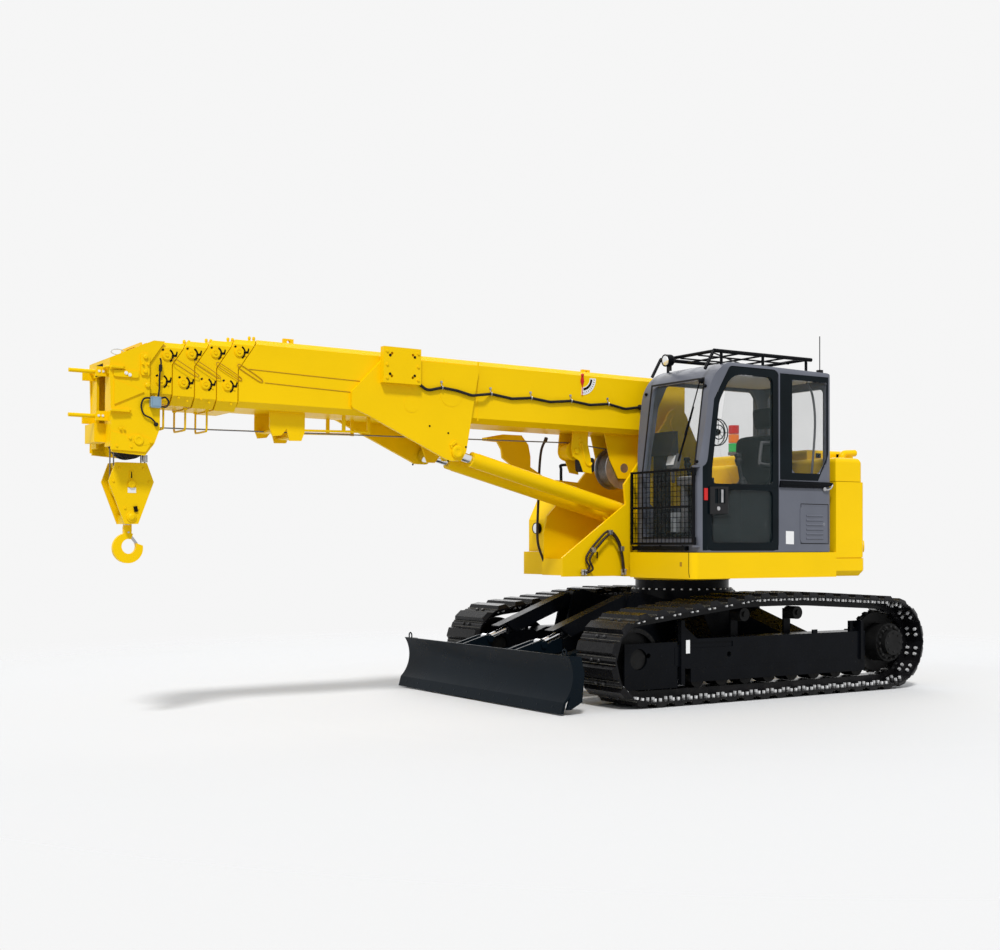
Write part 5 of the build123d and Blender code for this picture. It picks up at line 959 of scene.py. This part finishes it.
def build_cab_front():
    """Ledge, latches, seam and plate on the front of the cab."""
    ledge = Piece("guard_ledge", "upper", BLACK, "frame_black")
    ledge.box((0.826, 0.398, 1.203), (0.872, 1.075, 1.238), 0.004)
    ledge.bolts([(0.849, y, 1.238) for y in (0.46, 0.74, 1.02)], UP, 0.008, 0.006)
    ledge.done(bevel=0.002)
    latch = Piece("corner_latches", "upper", BLACK)
    for y, z in ((1.168, 2.5), (1.168, 1.9), (0.425, 2.5)):
        latch.lathe((screen_x(z, -0.004), y, z), (1, 0, 0.14), [(0, 0.013), (0.012, 0.013), (0.016, 0.009)],
            16)
    latch.done()
    seam = ((1.16, 1.186), (1.166, 1.186), (1.166, 1.03), (1.174, 0.992), (1.168, 0.992), (1.16, 1.03))
    for name, finish, outline, thick in (("skirt_seams", DARK, seam, 0.0025),
            ("skirt_plate", SHADED, oblong(1.055, 1.077, 1.08, 1.112), 0.003)):
        Piece(name, "upper", finish).slab([(SKIRT_FRONT, y, z) for y, z in outline], (thick, 0, 0)).done()


def rounded(points, radii, steps=5):
    """Outline of (x, z) points with every corner turned into an arc of equal steps."""
    made = []
    if not isinstance(radii, (list, tuple)):
        radii = [radii] * len(points)
    for index, corner in enumerate(points):
        corner = Vector(corner)
        before, after = Vector(points[index - 1]), Vector(points[(index + 1) % len(points)])
        one, two = (before - corner).normalized(), (after - corner).normalized()
        half = one.angle(two) / 2
        reach = min(radii[index] / math.tan(half), (before - corner).length / 2.1,
            (after - corner).length / 2.1)
        start, end = corner + one * reach, corner + two * reach
        for step in range(steps + 1):
            u = step / steps
            made.append(tuple(start * (1 - u) ** 2 + corner * 2 * u * (1 - u) + end * u * u))
    return made


def build_door():
    """Dark glazed door with its panes and front band, and the bars of the roof rack."""
    frame_face, frame_thick = CAB_SIDE - 0.034, 0.034
    upper_out = [(0.004, 1.709), (0.764, 1.709), (0.764, 1.85), (0.69, 2.398), (0.528, 2.668),
        (0.004, 2.668)]
    upper_in = [(0.066, 1.732), (0.716, 1.732), (0.712, 1.855), (0.638, 2.385), (0.51, 2.606),
        (0.066, 2.606)]
    lower_out = oblong(0.004, 1.204, 0.764, 1.709)
    lower_in = oblong(0.066, 1.262, 0.716, 1.686)
    door = Piece("cab_door_frame", "upper", DOOR)
    door.side_ring(rounded(upper_out, 0.006), rounded(upper_in, (0.05, 0.05, 0.02, 0.2, 0.2, 0.06)),
        frame_face, frame_thick)
    door.side_ring(rounded(lower_out, 0.006), rounded(lower_in, 0.05), frame_face, frame_thick)
    door.side_slab(rounded([(0.556, 1.49), (0.752, 1.486), (0.752, 1.708), (0.556, 1.712)], 0.02),
        CAB_SIDE - 0.02, 0.0315)
    for vert in door.bm.verts:
        over = vert.co.z - 2.63
        if over > 0 and vert.co.y > CAB_SIDE - 0.01:
            vert.co.y -= CAB_CORNER - math.sqrt(CAB_CORNER ** 2 - over ** 2)
    made = door.done(bevel=0.002)
    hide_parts("cab_door")
    strip = Piece("door_front_band", "upper", DOOR)
    rings = []
    for z in (1.204, 1.5, CAB_BEND_Z, 2.05, 2.25, 2.4):
        flat = screen_x(z) - CAB_CORNER
        near, far = [], []
        for step in range(6):
            ahead = 0.01 + 0.007 * step
            drop = CAB_CORNER - math.sqrt(CAB_CORNER ** 2 - ahead ** 2)
            near.append((flat + ahead, CAB_SIDE - drop + 0.0016, z))
            far.append((flat + ahead, CAB_SIDE - drop - 0.004, z))
        rings.append(near + far[::-1])
    strip.hull(rings)
    strip.done()
    Piece("door_corner_panes", "upper", GLAZING).side_slab([(0.47, 1.724), (0.72, 1.724), (0.716, 1.86),
        (0.65, 2.33), (0.628, 2.09), (0.61, 1.96)], CAB_SIDE - 0.0195, 0.005).done()
    Piece("door_lower_tint", "upper", TINT).side_slab(oblong(0.06, 1.256, 0.722, 1.692), CAB_SIDE - 0.028,
        0.004).done()
    rack = Piece("roof_rack_bars", "upper", BLACK, "frame_black")
    for x in (-0.16, 0.09, 0.34):
        rack.pipe([(x, 0.47, 2.79), (x, 1.125, 2.79)], 0.008, 8, 1)
    for y0, y1 in ((0.7, 0.7), (0.92, 0.92), (0.49, 1.1)):
        rack.pipe([(-0.4, y0, 2.782), (0.6, y1, 2.782)], 0.007, 8, 1)
    rack.done()


def cushion(name, centre, half, lean, finish, crown=0.012, grooves=(), sharp=0.34):
    """Stuffed block with soft edges, a crown on its face and sewn grooves; lean in degrees."""
    centre = Vector(centre)
    tilt = Matrix.Rotation(math.radians(lean), 3, "Y")

    def power(value, size):
        return math.copysign(abs(value) ** size, value)

    rows, columns = 22, 40
    rings = []
    for row in range(1, rows):
        up = math.pi * row / rows - math.pi / 2
        ring = []
        for column in range(columns):
            a = 2 * math.pi * column / columns
            x = power(math.cos(up), sharp) * power(math.cos(a), sharp)
            y = power(math.cos(up), sharp) * power(math.sin(a), sharp)
            z = power(math.sin(up), sharp)
            rise = crown * (1 - x * x) * (1 - y * y) if z > 0 else 0
            dip = sum(0.01 * math.exp(-((y - g) / 0.05) ** 2) for g in grooves) if z > 0 else 0
            place = Vector((x * half[0], y * half[1], z * half[2] + rise - dip))
            ring.append(centre + tilt @ place)
        rings.append(ring)
    piece = Piece(name, "upper", finish, "seat_cloth")
    piece.hull(rings)
    made = piece.done(smooth_angle=70)
    return made


def build_seat():
    """Padded seat on its stand, with its belt, arm loop and headrest stays."""
    base = cushion("seat_cushion", (0.055, CAB_MID, 1.532), (0.245, 0.24, 0.058), 0, CLOTH, 0.014,
        (-0.55, 0.55))
    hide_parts("seat")
    cushion("seat_back", (-0.19, CAB_MID, 1.872), (0.3, 0.23, 0.055), -80, CLOTH, 0.016, (-0.6, 0.6))
    cushion("seat_headrest", (-0.258, CAB_MID, 2.322), (0.088, 0.13, 0.04), -80, CLOTH, 0.008)
    stand = Piece("seat_stand", "upper", PLASTIC)
    for x0, x1, z0, z1 in ((-0.15, 0.23, CAB_FLOOR, 1.25), (-0.12, 0.2, 1.25, 1.42),
            (-0.16, 0.25, 1.42, 1.476)):
        stand.box((x0, CAB_MID - 0.17, z0), (x1, CAB_MID + 0.17, z1), 0.02)
    stand.done(bevel=0.006)
    trim = Piece("seat_trim", "upper", TRIM)
    for side in (-1, 1):
        trim.pipe([(-0.262, CAB_MID + side * 0.055, 2.13), (-0.272, CAB_MID + side * 0.055, 2.25)], 0.007,
            10, 1)
    trim.pipe([(-0.125, CAB_MID + 0.245, 1.905), (0.03, CAB_MID + 0.25, 1.915),
        (0.05, CAB_MID + 0.25, 1.935), (0.03, CAB_MID + 0.25, 2.07), (0.01, CAB_MID + 0.25, 2.09),
        (-0.165, CAB_MID + 0.245, 2.095)], 0.013, 12, 4)
    trim.done()
    Piece("seat_belt", "upper", RUBBER, "seat_cloth").slab([(-0.205, CAB_MID + 0.232, 2.03),
        (-0.195, CAB_MID + 0.236, 2.03), (0.02, CAB_MID + 0.249, 1.6), (0.01, CAB_MID + 0.246, 1.585)],
        (0.0, 0.003, 0.035)).done()


def build_consoles():
    """Console tops with their grips and the row of levers."""
    dark = Piece("console_tops", "upper", PLASTIC)
    for side in (-1, 1):
        mid = CAB_MID + side * 0.315
        dark.box((-0.2, mid - 0.055, 1.704), (0.235, mid + 0.055, 1.722), 0.015)
        dark.lathe((0.3, mid, 1.74), UP, [(0, 0.045), (0.012, 0.04), (0.024, 0.03), (0.034, 0.031),
            (0.046, 0.022), (0.06, 0.019)], 20)
        dark.lathe((0.342, mid, 1.905), (0.1, 0, 1), [(-0.02, 0.018), (0.0, 0.024), (0.05, 0.022),
            (0.065, 0.031), (0.082, 0.024), (0.085, TIP_R)], 16)
    for number in range(6):
        lever = Vector((0.42, 0.6 + number * 0.045, 1.8))
        tip = lever + Vector((-0.02, 0, 0.085))
        dark.round(lever, tip, 0.005, sides=8)
        dark.lathe(tip, (-0.2, 0, 1), [(-0.006, 0.008), (0.004, 0.013), (0.018, 0.012), (0.024, 0.006)], 12)
    dark.box((0.36, 0.57, 1.7), (0.47, 0.86, 1.8), 0.02)
    dark.box((0.39, 0.6, CAB_FLOOR), (0.45, 0.83, 1.7), 0.01)
    dark.done(bevel=0.003)


def build_displays():
    """Monitor, display and keys, without words."""
    Piece("monitor_panel", "upper", SCREEN).slab([(0.634, 0.452, 2.005), (0.634, 0.635, 2.005),
        (0.612, 0.635, 2.15), (0.612, 0.452, 2.15)], (-0.028, 0, -0.002)).done(bevel=0.004)
    glow = Piece("monitor_rows", "upper", GREEN)
    for number in range(4):
        z = 2.03 + number * 0.024
        for step in range(6):
            y0, y1 = 0.475 + step * 0.024, 0.492 + step * 0.024
            glow.slab([(0.602, y0, z), (0.602, y1, z), (0.6, y1, z + 0.014), (0.6, y0, z + 0.014)],
                (-0.003, 0, 0))
    glow.done()
    pads = Piece("display_case", "upper", TRIM)
    pads.slab([(0.655, 0.56, 1.88), (0.655, 0.7, 1.88), (0.625, 0.7, 2.0), (0.625, 0.56, 2.0)],
        (-0.04, 0, -0.01))
    pads.round((0.62, 0.63, 1.76), (0.63, 0.63, 1.9), 0.014, sides=12)
    pads.box((0.585, 0.72, 1.735), (0.66, 0.96, 1.8), 0.01)
    pads.box((0.6, 0.76, CAB_FLOOR), (0.65, 0.8, 1.74), 0.005)
    pads.done(bevel=0.006)
    keys = Piece("display_keys", "upper", WHITE, "glazing")
    for row in range(2):
        for step in range(6):
            x, y, z = 0.595 + row * 0.03, 0.735 + step * 0.036, 1.8005
            keys.box((x, y, z), (x + 0.022, y + 0.028, z + 0.004), 0.002)
    keys.slab([(0.659, 0.58, 1.905), (0.659, 0.68, 1.905), (0.634, 0.68, 1.985), (0.634, 0.58, 1.985)],
        (0.004, 0, 0.001))
    keys.done()


def build_fan():
    """Cab fan in its wire guard."""
    fan = Piece("cab_fan", "upper", BLACK)
    hub, wide = Vector((0.175, 0.64, 2.195)), 0.112
    for radius, out in ((wide, 0.0), (wide, 0.034), (0.06, 0.046)):
        fan.pipe([hub + spoke(a, radius, out) for a in turn(24)], 0.0048, 8, 1, loop=True)
    for number in range(8):
        a = math.pi / 4 * number
        fan.pipe([hub + spoke(a, r, out) for r, out in ((wide, 0.0), (wide, 0.034), (0.06, 0.046),
            (0.0, 0.048))], 0.002, 6, 1)
    fan.lathe(hub, SIDE, [(-0.05, 0.026), (0.03, 0.03), (0.05, 0.022), (0.052, TIP_R)], 18)
    fan.pipe([hub + Vector((0, -0.04, 0)), hub + Vector((0, -0.12, -0.02)), Vector((0.175, 0.448, 2.15))],
        0.009, 10, 4)
    fan.done()


def build_cab_lining():
    """Knob, handrail, linings and low panels in the cab."""
    Piece("red_knob", "upper", RED).lathe((0.305, 1.1125, 1.735), (0.2, 0.2, 1),
        [(-0.01, 0.012), (0.004, 0.012), (0.01, 0.026), (0.026, 0.026), (0.032, 0.016)], 18).done()
    Piece("entry_handrail", "upper", WHITE).pipe([(0.19, 1.165, 1.245), (0.19, 1.165, 1.46),
        (0.178, 1.165, 1.505), (0.15, 1.165, 1.515), (0.118, 1.165, 1.46), (0.1, 1.165, 1.38),
        (0.1, 1.15, 1.3)], 0.009, 12, 5).done()
    lining = Piece("cab_lining", "upper", LINING)
    lining.box((-0.5, 0.47, 2.612), (0.44, 1.13, 2.624), 0.03)
    lining.box((-0.535, 0.46, 1.3), (-0.515, 1.12, 1.8), 0.006)
    lining.done(bevel=0.004)
    frame = Piece("cab_frame_lining", "upper", TRIM)
    frame.pipe([(-0.46, 0.47, 1.8), (-0.48, 0.462, 2.25), (-0.45, 0.462, 2.5), (-0.38, 0.462, 2.6)], 0.014,
        10, 5)
    frame.pipe([(-0.46, 1.125, 1.8), (-0.5, 1.128, 2.25), (-0.47, 1.128, 2.5), (-0.4, 1.128, 2.6)], 0.01,
        10, 5)
    frame.box((-0.4, 0.62, CAB_FLOOR), (-0.24, 0.98, 1.62), 0.02)
    frame.done(bevel=0.003)
    tank = Piece("cab_low_panels", "upper", WHITE_GREY)
    tank.box((0.2, 0.462, 1.23), (0.56, 0.5, 1.52), 0.006)
    tank.box((0.5, 0.52, 1.23), (0.58, 0.585, 1.46), 0.006)
    tank.done(bevel=0.003)


def build_lamp_stack():
    """Load warning lamps in three colours on a stand behind the cab."""
    foot = Vector((-1.155, -0.6, HOOD_TOP))
    radius = 0.052
    Piece("lamp_stand", "upper", TRIM).lathe(foot, UP, [(-0.003, 0.06), (0.006, 0.06), (0.01, 0.034),
        (0.04, 0.034), (0.044, 0.056), (0.07, 0.056), (0.072, 0.05)], 24).done()
    for number, (name, finish) in enumerate((("green", GREEN), ("orange", ORANGE), ("red", RED))):
        start = 0.072 + number * 0.088
        lamp = Piece(f"lamp_{name}", "upper", finish, "glazing")
        profile = []
        for step in range(8):
            height = start + 0.001 + step * 0.0108
            profile += [(height, radius), (height + 0.006, radius - 0.0015)]
        profile[0] = (start + 0.001, radius - 0.004)
        profile.append((profile[-1][0] + 0.001, TIP_R))
        lamp.lathe(foot, UP, profile, 28)
        lamp.done()


# ---------------------------------------------------------------- undercarriage
TRACK_MID = 0.995
SHOES = 42
DRIVE_X, DRIVE_Z = -1.337, 0.4015
WRAPS = [(DRIVE_X, DRIVE_Z, DRIVE_Z), (1.356, 0.366, 0.366), (0.222, 0.68, 0.178),
         (-0.372, 0.68, 0.178)]   # wheels that the pad tips wrap: x, z, radius
SHOE_BACK = 0.048
SHOE_FACE = 0.034


def loop_pieces(inset):
    """Arcs and straight runs of the track loop, drawn in from the pad tips."""
    leans = []
    for index, (x0, z0, r0) in enumerate(WRAPS):
        x1, z1, r1 = WRAPS[(index + 1) % len(WRAPS)]
        reach = math.hypot(x1 - x0, z1 - z0)
        leans.append(math.atan2(z1 - z0, x1 - x0) - math.pi / 2 + math.atan2(r0 - r1, reach))
    found = []
    for index, (x, z, r) in enumerate(WRAPS):
        sweep = (leans[index] - leans[index - 1]) % (2 * math.pi)
        radius = r - inset
        found.append(((x, z, radius), (leans[index - 1], sweep), radius * sweep))
        x1, z1, r1 = WRAPS[(index + 1) % len(WRAPS)]
        begin, end = [(a + b * math.cos(leans[index]), c + b * math.sin(leans[index]))
            for a, b, c in ((x, radius, z), (x1, r1 - inset, z1))]
        found.append((begin, end, math.dist(begin, end)))
    return found


def shoe_joints(inset):
    """Places (x, z) where the shoes meet, as the CAD track has them."""
    backs, runs = loop_pieces(SHOE_BACK), loop_pieces(inset)
    pitch = sum(run[-1] for run in backs) / SHOES
    places = []
    for number in range(SHOES):
        left, index = pitch * number, 0
        while left > backs[index][-1]:
            left -= backs[index][-1]
            index += 1
        share = left / backs[index][-1]
        first, second, _ = runs[index]
        if len(first) == 3:
            a = second[0] + second[1] * share
            places.append((first[0] + first[2] * math.cos(a), first[1] + first[2] * math.sin(a)))
        else:
            places.append((first[0] + (second[0] - first[0]) * share,
                first[1] + (second[1] - first[1]) * share))
    return places


def build_tracks():
    """Nuts inside the shoes, bolt heads between the pads and the shoes' worn lips."""
    faces, backs = shoe_joints(SHOE_FACE), shoe_joints(SHOE_BACK)
    for side, word, _ in SIDES:
        nuts = Piece(f"shoe_nuts_{word}", "undercarriage", NUT)
        heads = Piece(f"pad_bolts_{word}", "undercarriage", BOLT_DARK)
        lips = Piece(f"shoe_lips_{word}", "undercarriage", LIP)
        for index in range(SHOES):
            (x0, z0), (x1, z1) = backs[index - 1], backs[index]
            along = Vector((x1 - x0, 0, z1 - z0)).normalized()
            inward = Vector((-along.z, 0, along.x))
            middle = Vector(((x0 + x1) / 2, side * TRACK_MID, (z0 + z1) / 2))
            for reach in (-0.195, -0.105, 0.105, 0.195):
                for step in (-0.026, 0.026):
                    spot = middle + along * step + SIDE * reach
                    nuts.round(spot, spot + inward * 0.02, 0.0135, sides=6)
            joint = Vector((faces[index][0], side * TRACK_MID, faces[index][1]))
            x2, z2 = faces[(index + 1) % SHOES]
            x3, z3 = faces[index - 1]
            after = Vector((x2 - joint.x, 0, z2 - joint.z)).normalized()
            before = Vector((joint.x - x3, 0, joint.z - z3)).normalized()
            mean = (after + before).normalized()
            out = Vector((mean.z, 0, -mean.x))
            for reach in (-0.047, 0.047):
                start = joint + SIDE * reach - out * 0.002
                heads.lathe(start, out, [(0, 0.015), (0.01, 0.015), (0.015, 0.011)], 12)
            for way, line in ((1, after), (-1, before)):
                normal = Vector((line.z, 0, -line.x))
                edge = joint + line * 0.026 * way
                corners = [edge + line * a + normal * b for a, b in ((-0.0022, -0.002), (0.0022, -0.002),
                    (0.0014, 0.0085), (-0.0014, 0.0085))]
                lips.slab([c - SIDE * 0.247 for c in corners], SIDE * 0.494)
        for piece in (nuts, heads, lips):
            piece.done()


def build_undercarriage():
    """Bolt rings, a bare plate, and the eyes and edge bolts of the blade."""
    ring = Piece("turret_ring_bolts", "undercarriage", NUT)
    ring.bolts([Vector((math.cos(a) * 0.432, math.sin(a) * 0.432, 0.8595)) for a in turn(36)], UP, 0.01,
        0.012)
    ring.done()
    for side, word, out in SIDES:
        drive = Piece(f"drive_bolts_{word}", "undercarriage", WHEEL)
        drive.bolts([Vector((DRIVE_X + math.cos(a) * 0.14, side * 1.195, DRIVE_Z + math.sin(a) * 0.14))
            for a in turn(16)], out, 0.011, 0.012)
        drive.bolts([Vector((DRIVE_X + math.cos(a) * 0.08, side * 1.2325, DRIVE_Z + math.sin(a) * 0.08))
            for a in turn(8)], out, 0.009, 0.006)
        drive.done()
    plate = Piece("frame_bare_plate", "undercarriage", WHITE)
    _, frame_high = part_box("track_frame_left")
    plate.side_slab(oblong(0.865, 0.395, 0.905, 0.5), frame_high.y - 0.0005, 0.001)
    plate.done()
    eyes = Piece("blade_lifting_eyes", "blade", BLADE_PAINT)
    for side in (-1, 1):
        y = side * 1.175
        loop = ((-0.022, 0.43), (-0.022, 0.462), (0, 0.478), (0.022, 0.462), (0.022, 0.43))
        eyes.pipe([(2.1, y + step, z) for step, z in loop], 0.006, 8, 4)
    eyes.done()
    edge = Piece("cutting_edge_bolts", "blade", BLADE_PAINT)
    for number in range(12):
        y = -1.12 + number * 2.24 / 11
        edge.lathe((2.168, y, 0.055), (0.97, 0, 0.25), [(-0.004, 0.014), (0.0015, 0.013), (0.003, 0.008)],
            14)
    edge.done()


def build_bracket_details():
    """Hydraulic lines with clips and painted shade in a slot on the brackets, and the tall side line."""
    lines = Piece("bracket_lines", "upper", HOSE)
    outer = ((1.363, 1.018), (1.282, 1.06), (1.312, 1.148), (1.191, 1.287), (1.078, 1.362), (0.985, 1.288),
        (0.943, 1.163), (0.922, 1.013))
    inner = ((1.33, 1.018), (1.262, 1.052), (1.29, 1.138), (1.18, 1.262), (1.075, 1.338), (1.0, 1.262),
        (0.962, 1.15), (0.948, 1.018))
    for lift, points in ((0.014, outer), (0.034, inner)):
        lines.pipe([(x, BRACKET_SIDE + lift, z) for x, z in points], 0.0095, 10, 7)
    lines.done()
    clips = Piece("bracket_line_fittings", "upper", STEEL)
    for x, z in ((1.355, 1.022), (0.923, 1.022), (1.325, 1.022), (0.948, 1.022)):
        clips.lathe((x, BRACKET_SIDE + 0.024, z - 0.022), UP, [(0, 0.013), (0.03, 0.013), (0.032, 0.016),
            (0.046, 0.016), (0.048, 0.0105)], 6, closed=False)
    for x, z in ((1.078, 1.35), (1.252, 1.205), (0.962, 1.215)):
        clips.side_slab(oblong(-0.016, -0.02, 0.016, 0.02), BRACKET_SIDE, 0.046, (x, z))
    clips.done(bevel=0.002)
    # dark oblong: painted shade in a slot of the bracket
    Piece("bracket_slot_shade", "upper", DARK).side_slab(oblong(1.184, 1.138, 1.198, 1.19), BRACKET_SIDE - 0.001,
        0.0018).done()
    tall = Piece("tall_side_line", "upper", HOSE)
    y = -0.325
    route = ((1.245, 2.15), (1.288, 2.06), (1.309, 1.888), (1.319, 1.631), (1.329, 1.375), (1.319, 1.246),
        (1.267, 1.118), (1.215, 1.005))
    tall.pipe([(x, y, z) for x, z in route], 0.011, 10, 6)
    tall.lathe((1.24, y, 2.158), (-0.4, 0, 1), [(-0.03, 0.013), (-0.028, 0.016), (0.01, 0.016),
        (0.014, 0.012)], 14)
    tall.done()


# ---------------------------------------------------------------- rear and right side
TAIL_HOOD = 1.54
TAIL_WEIGHT = 1.56
HOUSING_SIDE = -1.214
HOUSING_TOP = 1.78


def on_tail(degrees, radius, z):
    """Point on the round tail, its angle measured from straight back towards +Y."""
    a = math.radians(degrees)
    return Vector((-math.cos(a) * radius, math.sin(a) * radius, z))


def build_rear_details():
    """Louvres with painted shade in their gaps, seams, latches, plugs and handholds on the hood and the
    counterweight.
    """
    slots = Piece("hood_louvre_shade_and_seams", "upper", DARK)
    lips = Piece("hood_louvre_lips", "upper", YELLOW)
    # louvres: each dark strip is painted shade in the gap under its lip; the dark lines on the hood top are
    # seams
    for z in [1.815 + 0.022 * k for k in range(6)]:
        for start, end in ((-30, -9), (9, 30)):
            angles = [start + (end - start) * k / 10 for k in range(11)]
            near = [on_tail(a, TAIL_HOOD + 0.001, z) for a in angles]
            deep = [Vector((p.x, p.y, 0)) * 0.003 for p in near]
            slots.hull([[p, p + UP * 0.009, p + UP * 0.009 - d, p - d] for p, d in zip(near, deep)])
            lips.pipe([on_tail(a, TAIL_HOOD, z + 0.013) for a in angles], 0.0045, 6, 1)
    slots.box((-1.278, -0.0025, HOOD_TOP - 0.0005), (-0.717, 0.0025, HOOD_TOP + 0.0012))
    for y in (-0.45, 0.45):
        slots.box((-1.278, y - 0.002, HOOD_TOP - 0.0005), (-0.717, y + 0.002, HOOD_TOP + 0.001))
    slots.done()
    for a in (-42, 0, 42):
        spot = on_tail(a, TAIL_WEIGHT - 0.001, 1.235)
        lips.lathe(spot, (spot.x, spot.y, 0), [(0, 0.052), (0.008, 0.052), (0.012, 0.046), (0.012, 0.03),
            (0.006, 0.028)], 24)
    for a in (-20, 20):
        spot = on_tail(a, TAIL_WEIGHT - 0.001, 1.7)
        out = Vector((spot.x, spot.y, 0)).normalized()
        side = Vector((out.y, -out.x, 0))
        lips.pipe([spot - side * 0.06 - UP * 0.02, spot - side * 0.06 + out * 0.03,
            spot + side * 0.06 + out * 0.03, spot + side * 0.06 - UP * 0.02], 0.009, 10, 4)
    lips.done()
    latches = Piece("hood_latches", "upper", BLACK)
    for x, y in ((-1.1, -0.822), (-0.85, -0.822), (-1.1, 0.822), (-0.85, 0.822)):
        way = math.copysign(1, y)
        latches.box((x - 0.03, min(y, y - way * 0.004), 2.005), (x + 0.03, max(y, y - way * 0.004) + 0.002,
            2.045), 0.001)
        latches.round((x, y, 2.025), (x, y + way * 0.012, 2.025), 0.012, sides=18)
    latches.done(bevel=0.002)


def build_right_side():
    """Doors, louvres with painted shade in their gaps, hinges, filler caps, grab rail and lamp on the right
    housing.
    """
    face = HOUSING_SIDE
    seams = Piece("housing_seams_and_louvre_shade", "upper", DARK)
    lips = Piece("housing_fittings", "upper", YELLOW)
    for x0, x1 in ((-0.6, -0.03), (0.01, 0.56)):
        outer = rounded(oblong(x0, 1.235, x1, 1.7), 0.03)
        inner = rounded(oblong(x0 + 0.004, 1.239, x1 - 0.004, 1.696), 0.027)
        seams.side_ring(outer, inner, face + 0.001, -0.0025)
    # louvres: each dark slot is painted shade in the gap under its lip
    for number in range(9):
        z = 1.33 + number * 0.034
        seams.side_slab(oblong(-0.53, z, -0.18, z + 0.01), face + 0.001, -0.003)
        lips.slab([(-0.535, face + 0.001, z + 0.01), (-0.535, face - 0.012, z + 0.012),
            (-0.535, face + 0.001, z + 0.024)], (0.36, 0, 0))
    seams.done()
    for x in (-0.595, 0.015):
        for z in (1.33, 1.61):
            lips.round((x - 0.004, face - 0.006, z - 0.035), (x - 0.004, face - 0.006, z + 0.035), 0.009,
                sides=14)
            lips.box((x - 0.002, face - 0.005, z - 0.03), (x + 0.04, face + 0.001, z + 0.03))
    lips.done(bevel=0.001)
    black = Piece("housing_caps", "upper", BLACK)
    for x in (-0.075, 0.5):
        black.side_slab(oblong(-0.028, -0.045, 0.028, 0.045), face + 0.001, -0.008, (x, 1.47))
        black.pipe([(x, face - 0.008, 1.44), (x, face - 0.018, 1.45), (x, face - 0.018, 1.49),
            (x, face - 0.008, 1.5)], 0.006, 8, 3)
    for x, y, r in ((0.2, -0.9, 0.055), (-0.3, -0.62, 0.04)):
        black.lathe((x, y, HOUSING_TOP - 0.001), UP, [(0, r + 0.012), (0.008, r + 0.012), (0.01, r),
            (0.04, r), (0.046, r - 0.006)], 28)
    black.pipe([(0.5, -1.15, 1.77), (0.5, -1.155, 1.95), (0.47, -1.158, 2.0), (0.1, -1.158, 2.0),
        (-0.27, -1.158, 2.0), (-0.3, -1.155, 1.95), (-0.3, -1.15, 1.775)], 0.014, 12, 5)
    black.lathe((0.85, -1.02, 1.4), (1, 0, 0), [(-0.006, 0.05), (0.03, 0.052), (0.036, 0.048),
        (0.03, 0.042)], 26, closed=False)
    black.done(bevel=0.001)
    Piece("front_lamp_glass", "upper", LENS).lathe((0.85, -1.02, 1.4), (1, 0, 0),
        [(0.02, 0.044), (0.031, 0.043), (0.034, 0.025), (0.035, TIP_R)], 26).done()


for build in (build_ropes, build_collar_fittings, build_boom_lines, build_hose_clips, build_angle_scale,
        build_load_sensor, build_head_fittings, build_head_front, build_block_fittings, build_boom_fittings,
        build_door, build_window_bands, build_side_rail, build_door_handle, build_wiper, build_roof_lamp,
        build_cab_front, build_seat, build_consoles, build_displays, build_fan, build_cab_lining,
        build_lamp_stack, build_tracks, build_undercarriage, build_bracket_details, build_rear_details,
        build_right_side):
    build()
